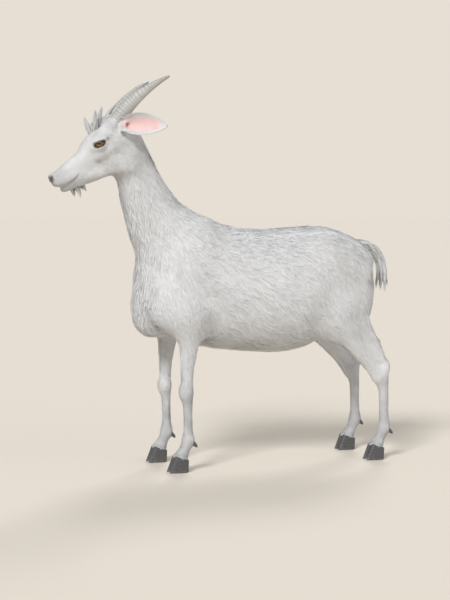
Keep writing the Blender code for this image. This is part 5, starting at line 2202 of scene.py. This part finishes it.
@dataclass
class Coat:
    """The coat: tufts rooted all over the skin and laid along the comb's strokes. The swirl is
    their broad, fine and own turn, and the roll their tilt, in degrees."""

    skin: Mesh
    surface: Form
    unwrap: Unwrap
    finish: Material
    coverage: float = 2.60
    short: float = 0.0105
    swirl: Row = (13.0, 8.0, 6.0)
    roll: float = 11.0
    thickness: float = 0.32
    fringe_count: int = 520
    fringe_length: float = 0.0095
    lash_count: int = 46
    lash_length: float = 0.0075
    seed: int = 5

    def density(self, points: Array, combed: Array) -> Array:
        """Work out how close the tufts stand.

        Args:
            points: Places in plan coordinates.
            combed: The comb there.

        Returns:
            Tufts per square metre.
        """
        grown = 1 - np.maximum(lid_rim(points), np.maximum(nose_pad(points), lip_line(points)))
        grown *= 1 - 0.86 * ear_hollow(points)
        for eye in EYES:
            grown *= fade(eye.away(points), eye.radius + 0.0018, eye.radius + 0.0026)
        for side in Side:
            grown *= fade(Horn(side).distance(points), -0.004, -0.001)
        for foot in FEET:
            grown *= np.where(beside(points, foot), fade(foot.distance(points), 0.0010, 0.0025), 1.0)
        tail_end = fade(points[:, 1], 0.405, 0.415) * fade(points[:, 2], 0.586, 0.570) * (points[:, 2] > 0.5)
        grown *= 1 - tail_end
        full = 0.55
        return self.coverage * grown / (full * combed[:, 3] * combed[:, 4])

    def roots(self) -> Roots:
        """Spread the roots over the skin, evenly but not in rows.

        Returns:
            The roots.
        """
        mesh, random = self.skin, np.random.default_rng(self.seed)
        mesh.calc_loop_triangles()
        points, normals = (rows_of(mesh.vertices, name, 3) for name in ("co", "normal"))
        corners = rows_of(mesh.loop_triangles, "vertices", 3, np.int32)
        combed = COMB.read(points)
        density = self.density(points, combed)
        a, b, c = points[corners].transpose(1, 0, 2)
        area = np.linalg.norm(np.cross(b - a, c - a), axis=1) / 2
        reached = np.cumsum(area * density[corners].mean(1))
        count = int(reached[-1])
        chosen = np.searchsorted(reached, np.arange(count) + random.random(count) * 0.9)
        chosen = chosen[chosen < len(corners)]
        shares = random.random((len(chosen), 2))
        shares = np.where(shares.sum(1, keepdims=True) > 1, 1 - shares, shares)
        weights = np.stack([1 - shares.sum(1), shares[:, 0], shares[:, 1]], 1)[:, :, None]
        corner = corners[chosen]
        return Roots((points[corner] * weights).sum(1), unit((normals[corner] * weights).sum(1)),
                     (combed[corner] * weights).sum(1))

    def lay(self, strands: Strands, roots: Roots, patch: Patch, rings: int) -> None:
        """Lay tufts over the skin.

        Args:
            strands: Where to add them.
            roots: Where they grow.
            patch: The part of the coat.
            rings: How many rings each tuft has.
        """
        number = len(roots.points)
        if not number:
            return
        random = np.random.default_rng(self.seed + 17 * PATCHES.index(patch) + rings)
        normal = roots.normals
        way = roots.combed[:, :3]
        way = way - normal * (way * normal).sum(1, keepdims=True)
        level = np.linalg.norm(way, axis=1)
        way = unit(way)
        wide = np.cross(way, normal)
        broad, fine, own = self.swirl
        turn = np.radians(broad * waves(roots.points, 0.07, 21) + fine * waves(roots.points, 0.022, 22)
                          + random.normal(0, own, number))[:, None]
        way, wide = way * np.cos(turn) + wide * np.sin(turn), wide * np.cos(turn) - way * np.sin(turn)
        length = roots.combed[:, 3] * (1 + 0.16 * waves(roots.points, 0.030, 23))
        length *= random.uniform(0.72, 1.22, number)
        length *= 0.25 + 0.75 * fade(level, 0.10, 0.75)
        width = roots.combed[:, 4] * random.uniform(0.75, 1.20, number)
        lift = np.tan(np.radians(roots.combed[:, 5] * random.uniform(0.5, 1.6, number)))
        roll = np.radians(random.normal(0, self.roll, number))[:, None]
        across = wide * np.cos(roll) + normal * np.sin(roll)
        gather = np.stack([waves(roots.points, 0.014, 24), waves(roots.points, 0.014, 25)], 1)
        sway = (gather[:, 0] * 0.10 + random.normal(0, 0.05, number)) * length
        share = np.arange(rings + 1) / rings
        path = np.empty((number, rings + 1, 3))
        for index, t in enumerate(share):
            rise = length * lift * (t - 0.62 * t * t) - 0.0004 * (1 - t)
            flat = roots.points + way * (length * t)[:, None] + wide * (sway * t * t)[:, None]
            for _ in range(min(index, 2)):
                off = np.clip(-self.surface.distance(flat), -0.6 * length * t, 0.6 * length * t)
                flat = flat + normal * off[:, None]
            path[:, index] = flat + normal * rise[:, None]
        half = width[:, None] / 2 * (1.0, 0.86)[:rings]
        strands.add(path, across, normal, half, half * self.thickness, MARKINGS.colour(roots.points),
                    self.unwrap.places(roots.points, patch))

    def fringe(self, strands: Strands, patch: Patch) -> None:
        """Add the short fringe that falls over the top of the hooves.

        Args:
            strands: Where to add it.
            patch: The part of the coat that the feet belong to.
        """
        random = np.random.default_rng(self.seed + PATCHES.index(patch))
        count, rings, half_width = self.fringe_count, 3, 0.0222
        for foot in FEET:
            if (foot.pair is Pair.FORE) != (patch is Patch.FORE_LEGS):
                continue
            turn = random.uniform(0, 2 * math.pi, count)
            out = np.stack([np.cos(turn), np.sin(turn), np.zeros(count)], 1)
            reach = np.where(out[:, 1] < 0, foot.toe, foot.heel)
            coronet = foot.front - math.tan(foot.slope) * (foot.toe + reach * out[:, 1])
            top = coronet + random.uniform(0.002, 0.007, count)
            ring = np.stack([foot.middle[0] + half_width * out[:, 0],
                             foot.middle[1] + reach * out[:, 1], top], 1)
            root = ring.copy()
            for _ in range(4):
                root -= out * (self.surface.distance(root) + 0.0005)[:, None]
            share = np.arange(rings + 1)[None, :, None] / rings
            fall = (self.fringe_length * random.uniform(0.6, 1.1, count))[:, None]
            drop = (np.array((0.0, -0.25, -1.0)) * fall)[:, None]
            clear = (ring - root + out * 0.0009)[:, None]
            path = root[:, None] + drop * share + clear * np.sin(share * math.pi / 2)
            half = np.full((count, rings), 0.0006) * (0.6, 1.0, 0.7)
            strands.add(path, np.cross(drop[:, 0], out), out, half, half * 0.6, MARKINGS.colour(ring),
                        self.unwrap.places(ring, patch))

    def lashes(self, strands: Strands, patch: Patch) -> None:
        """Add the lashes along the edge of an upper eyelid.

        Args:
            strands: Where to add them.
            patch: The side of the head.
        """
        eye = next(eye for eye in EYES if (eye.side is Side.LEFT) == (patch is Patch.HEAD_LEFT))
        random = np.random.default_rng(self.seed + PATCHES.index(patch))
        count, rings = self.lash_count, 4
        half, upper, _ = eye.opening
        across = random.uniform(-0.86, 0.86, count)
        level = (1 - np.abs(across) ** 3.4) ** (1 / 3.4)
        axes = LidOpening(eye).axes
        x, y = across * half, level * upper + 0.0006
        z = np.sqrt((eye.radius + eye.lid) ** 2 - x * x - y * y) - 0.0006
        roots = np.array(eye.centre) + np.stack([x, y, z], 1) @ axes.T
        out = np.stack([0.55 * across, np.full(count, 0.35), np.full(count, 0.80)], 1) @ axes.T
        length = (self.lash_length * random.uniform(0.6, 1.1, count))[:, None, None]
        share = np.arange(rings + 1)[None, :, None] / rings
        sag = np.array((0, 0, -0.30)) * length * (share - share ** 2)
        path = roots[:, None] + out[:, None] * length * share + sag
        wide = np.cross(out, (0.0, 0.0, 1.0))
        half = np.full((count, rings), 0.00022)
        strands.add(path, wide, np.cross(wide, out), half, half, np.full((count, 3), 0.16),
                    self.unwrap.places(roots, patch))

    def build(self) -> None:
        """Make every part of the coat."""
        roots = self.roots()
        patches = patch_at(roots.points)
        log.info("%d tufts", len(patches))
        for number, patch in enumerate(PATCHES):
            own = patches == number
            brief = roots.combed[:, 3] < self.short
            strands = Strands()
            self.lay(strands, roots.only(own & brief), patch, 1)
            self.lay(strands, roots.only(own & ~brief), patch, 2)
            if patch in (Patch.FORE_LEGS, Patch.HIND_LEGS):
                self.fringe(strands, patch)
            if patch in (Patch.HEAD_LEFT, Patch.HEAD_RIGHT):
                self.lashes(strands, patch)
            add_piece(patch.value, strands.mesh(patch.value), self.finish, "coat")


# ---- locks: forelock, beard, tail


@dataclass
class Lock:
    """A pointed lock of hair: strands that start over a small area and gather along an axis."""

    axis: Sequence[Vector | Row]
    spread: Row
    count: int
    width: float
    gather: float = 1.6
    rings: int = 4

    def add(self, strands: Strands, unwrap: Unwrap, patch: Patch, seed: int) -> None:
        """Grow the lock.

        Args:
            strands: Where to add its strands.
            unwrap: The unwrapped skin.
            patch: The part of the coat that the lock grows from.
            seed: Seed of its random numbers.
        """
        random = np.random.default_rng(seed)
        line = curve_through(self.axis, 8)
        place = np.linspace(0, 1, len(line))
        share = np.arange(self.rings + 1) / self.rings
        reach = random.uniform(0.62, 1.0, self.count) ** 0.8
        reach[0] = 1.0
        at = reach[:, None] * share[None, :]
        middle = np.stack([np.interp(at, place, line[:, axis]) for axis in range(3)], 2)
        ball = random.normal(size=(self.count, 3))
        ball *= (random.random(self.count) ** (1 / 3) / np.linalg.norm(ball, axis=1))[:, None]
        offset = ball * np.array(self.spread)
        loose = (1 - at ** self.gather) * 0.92 + 0.08
        path = middle + offset[:, None, :] * loose[:, :, None]
        curl = 0.05 * np.linalg.norm(line[-1] - line[0])
        phase = random.uniform(0, 2 * math.pi, (self.count, 1))
        sway = np.sin(at * 3.2 + phase) * curl * at
        path[:, :, 0] += sway
        path[:, :, 1] += np.cos(at * 2.6 + phase * 1.3) * curl * at * 0.6
        way = unit(path[:, -1] - path[:, 0])
        facing = offset / np.array(self.spread) + random.normal(0, 0.25, (self.count, 3))
        facing = unit(facing - way * (facing * way).sum(1, keepdims=True))
        wide = np.cross(way, facing)
        taper = ((1 - share[:-1] ** 1.8) * 0.75 + 0.25) * np.where(share[:-1] > 0, 1.0, 0.35)
        half = self.width / 2 * random.uniform(0.7, 1.2, (self.count, 1)) * taper
        strands.add(path, wide, facing, half, half * 0.7, MARKINGS.colour(path[:, 0]),
                    unwrap.places(path[:, 0], patch))


def forelock_locks() -> list[Lock]:
    """Make a fan of pointed locks, from the brow over the poll to the nape.

    Returns:
        The locks.
    """
    count = 7
    found = []
    for number in range(count):
        share = number / (count - 1)
        rise = math.radians(110 - 88 * share)
        sign = 1 if number % 2 else -1
        reach = 0.050 + 0.018 * math.sin(math.pi * share)
        root = HEAD.at(0.080 - 0.082 * share, 0.000, 0.006 * sign)
        way = Vector((0.20 * sign, math.cos(rise), math.sin(rise))).normalized()
        bend = Vector((0, 0.22 * share, -0.08 * share)) * reach
        found.append(Lock([root - way * 0.011, root + way * reach * 0.5, root + way * reach + bend],
                          (0.012, 0.009, 0.005), 230, 0.0016))
        low = Vector((0.60 * sign, way.y, way.z * 0.8)).normalized()
        found.append(Lock([root - low * 0.011, root + low * reach * 0.40, root + low * reach * 0.68 + bend],
                          (0.012, 0.010, 0.004), 110, 0.0015))
    for number in range(2 * count - 1):
        share = number / (2 * count - 2)
        rise = math.radians(112 - 84 * share)
        root = HEAD.at(0.082 - 0.086 * share, 0.000, 0.005 * math.sin(2.3 * number))
        way = Vector((0.25 * math.sin(1.7 * number), math.cos(rise), math.sin(rise))).normalized()
        found.append(Lock([root - way * 0.010, root + way * 0.012, root + way * 0.030],
                          (0.011, 0.008, 0.004), 60, 0.0014, 1.1, 3))
    return found


def beard_locks() -> list[Lock]:
    """Make a small ragged beard under the chin, in three locks that start as one.

    Returns:
        The locks.
    """
    found = []
    for aside, back, length in ((-0.003, 0.000, 0.036), (0.003, 0.015, 0.048), (0.0, 0.030, 0.038),
                                (0.003, 0.007, 0.026), (-0.003, 0.023, 0.030)):
        root = HEAD.at(0.205 - back, -0.078, aside)
        found.append(Lock([root, root + Vector((0, 0.003 + back * 0.1, -0.004 - length * 0.45)),
                           root + Vector((0, 0.009 + back * 0.3, -0.004 - length))],
                          (0.008, 0.012, 0.004), 150, 0.0012, 1.3, 4))
    return found


def tail_locks() -> list[Lock]:
    """Make the hair that sheathes the tail and hangs from its end in ragged locks.

    Returns:
        The locks.
    """
    bone = [Vector((0, 0.352, 0.632)), Vector((0, 0.386, 0.624)), Vector((0, 0.412, 0.606)),
            Vector((0, 0.428, 0.582)), Vector((0, 0.434, 0.560))]
    found = []
    for number, root in enumerate(bone[:-1]):
        way = (bone[number + 1] - root).normalized()
        for aside, out in ((-0.017, 0.004), (0.0, 0.014), (0.017, 0.004), (-0.009, -0.010), (0.009, -0.010)):
            start = root + Vector((aside * 0.5, out * 0.2, out * 0.1))
            middle = start + way * 0.030 + Vector((aside * 0.65, out * 0.5, out * 0.3))
            end = middle + way * 0.014 + Vector((aside * 0.10, 0.003, -0.024))
            found.append(Lock([start, middle, end], (0.008, 0.008, 0.007), 60, 0.0016, 1.1, 4))
    for aside, back, length in ((0.000, 0.013, 0.050), (-0.016, 0.004, 0.066), (0.016, 0.002, 0.072),
                                (0.000, -0.012, 0.058), (-0.009, 0.009, 0.044), (0.009, -0.004, 0.052)):
        found.append(Lock([(aside * 0.7, 0.430 + back * 0.5, 0.582), (aside, 0.436 + back, 0.540),
                           (aside * 1.2, 0.436 + back * 1.5, 0.549 - length)],
                          (0.010, 0.009, 0.012), 150, 0.0016, 0.9, 5))
    return found


def grow_locks(name: str, locks: Iterable[Lock], unwrap: Unwrap, patch: Patch, finish: Material,
               *nodes: str) -> None:
    """Make one piece from locks.

    Args:
        name: The piece's name.
        locks: Its locks.
        unwrap: The unwrapped skin.
        patch: The part of the coat that they grow from.
        finish: The material.
        nodes: The solids that the piece stands for.
    """
    strands = Strands()
    for number, lock in enumerate(locks):
        lock.add(strands, unwrap, patch, 300 + number)
    add_piece(name, strands.mesh(name), finish, "coat", *nodes)


COMB = Comb(STROKES)


# ---- studio


@dataclass
class Studio:
    """Pale floor, soft lights and the camera."""

    azimuth: float = 70.0
    elevation: float = 4.0
    lens: float = 85.0
    distance: float = 4.05
    aim: Vector = field(default_factory=lambda: Vector((0.0, -0.006, 0.470)))
    wall: Row = (0.799, 0.738, 0.660, 1.0)
    ambient: float = 0.42

    def floor(self) -> None:
        """Lay the floor, a wide disc that the camera never sees the edge of."""
        bpy.ops.mesh.primitive_circle_add(vertices=96, radius=60.0, fill_type="NGON")
        floor = bpy.context.object
        floor.name = "floor"
        floor.data.materials.append(FloorFinish().build())

    def light(self, name: str, place: Row, angle: float, power: float, colour: Row) -> None:
        """Light the studio evenly from one direction, as through a wide soft panel.

        Args:
            name: The light's name.
            place: Direction that the light comes from.
            angle: How wide the panel looks, in degrees.
            power: Its strength.
            colour: Its colour.
        """
        data = bpy.data.lights.new(name, "SUN")
        data.angle, data.energy, data.color = math.radians(angle), power, colour
        lamp = bpy.data.objects.new(name, data)
        lamp.rotation_euler = (-Vector(place)).to_track_quat("-Z", "Y").to_euler()
        bpy.context.scene.collection.objects.link(lamp)

    def surround(self) -> None:
        """Fill the studio with even light, and show a pale wall where the camera looks past the floor."""
        world = bpy.data.worlds.new("studio")
        world.use_nodes = True
        shade = Shade(world.node_tree)
        wall = shade.node("ShaderNodeBackground", Color=self.wall, Strength=1.0)
        glow = shade.node("ShaderNodeBackground", Color=(1.0, 1.0, 1.0, 1.0), Strength=self.ambient)
        seen = shade.node("ShaderNodeLightPath").outputs["Is Camera Ray"]
        both = shade.fed(shade.node("ShaderNodeMixShader"), {0: seen, 1: glow.outputs[0], 2: wall.outputs[0]})
        shade.give(world.node_tree.nodes["World Output"], "Surface", both)
        bpy.context.scene.world = world

    def camera(self) -> None:
        """Create the camera at the goat's left fore side."""
        data = bpy.data.cameras.new("camera")
        data.lens, data.sensor_width, data.clip_end = self.lens, 36.0, 200.0
        camera = bpy.data.objects.new("camera", data)
        turn, rise = math.radians(self.azimuth), math.radians(self.elevation)
        away = Vector((math.sin(turn) * math.cos(rise), -math.cos(turn) * math.cos(rise), math.sin(rise)))
        camera.location = self.aim + away * self.distance
        camera.rotation_euler = (-away).to_track_quat("-Z", "Y").to_euler()
        bpy.context.scene.collection.objects.link(camera)
        bpy.context.scene.camera = camera

    def build(self) -> None:
        """Set the studio up."""
        self.floor()
        self.surround()
        self.light("key", (1.7, -1.7, 2.0), 18.0, 2.5, (1.0, 1.0, 1.0))
        self.light("fill", (2.0, 2.0, 1.0), 50.0, 0.5, (0.97, 0.985, 1.0))
        self.light("rim", (-1.5, 1.0, 1.6), 18.0, 1.2, (1.0, 1.0, 1.0))
        bpy.context.scene.view_settings.view_transform = "Standard"
        self.camera()


def main() -> None:
    """Build the goat from the skin out, then the studio."""
    groups = Groups()
    skin_finish = SkinFinish().build(groups)
    horn_finish, hoof_finish = HornFinish().build(groups), HoofFinish().build(groups)
    eye_finish = EyeFinish().build()
    coat_finish = CoatFinish().build(groups)
    skin = Skin()
    plan = skin.build(skin_finish)
    for eye in EYES:
        Eye(eye).build(eye_finish)
    for side in Side:
        Horn(side).build(horn_finish)
    for foot in FEET:
        for half in Side:
            Claw(foot, half).build(hoof_finish)
            Dewclaw(foot, half).build(hoof_finish)
    surface = skin.field()
    unwrap = Unwrap(surface)
    Coat(plan, surface, unwrap, coat_finish).build()
    grow_locks("forelock_hair", forelock_locks(), unwrap, Patch.HEAD_LEFT, coat_finish, "forelock")
    grow_locks("beard_hair", beard_locks(), unwrap, Patch.HEAD_LEFT, coat_finish, "beard")
    grow_locks("tail_hair", tail_locks(), unwrap, Patch.TAIL, coat_finish)
    Studio().build()


if __name__ == "__main__":
    main()
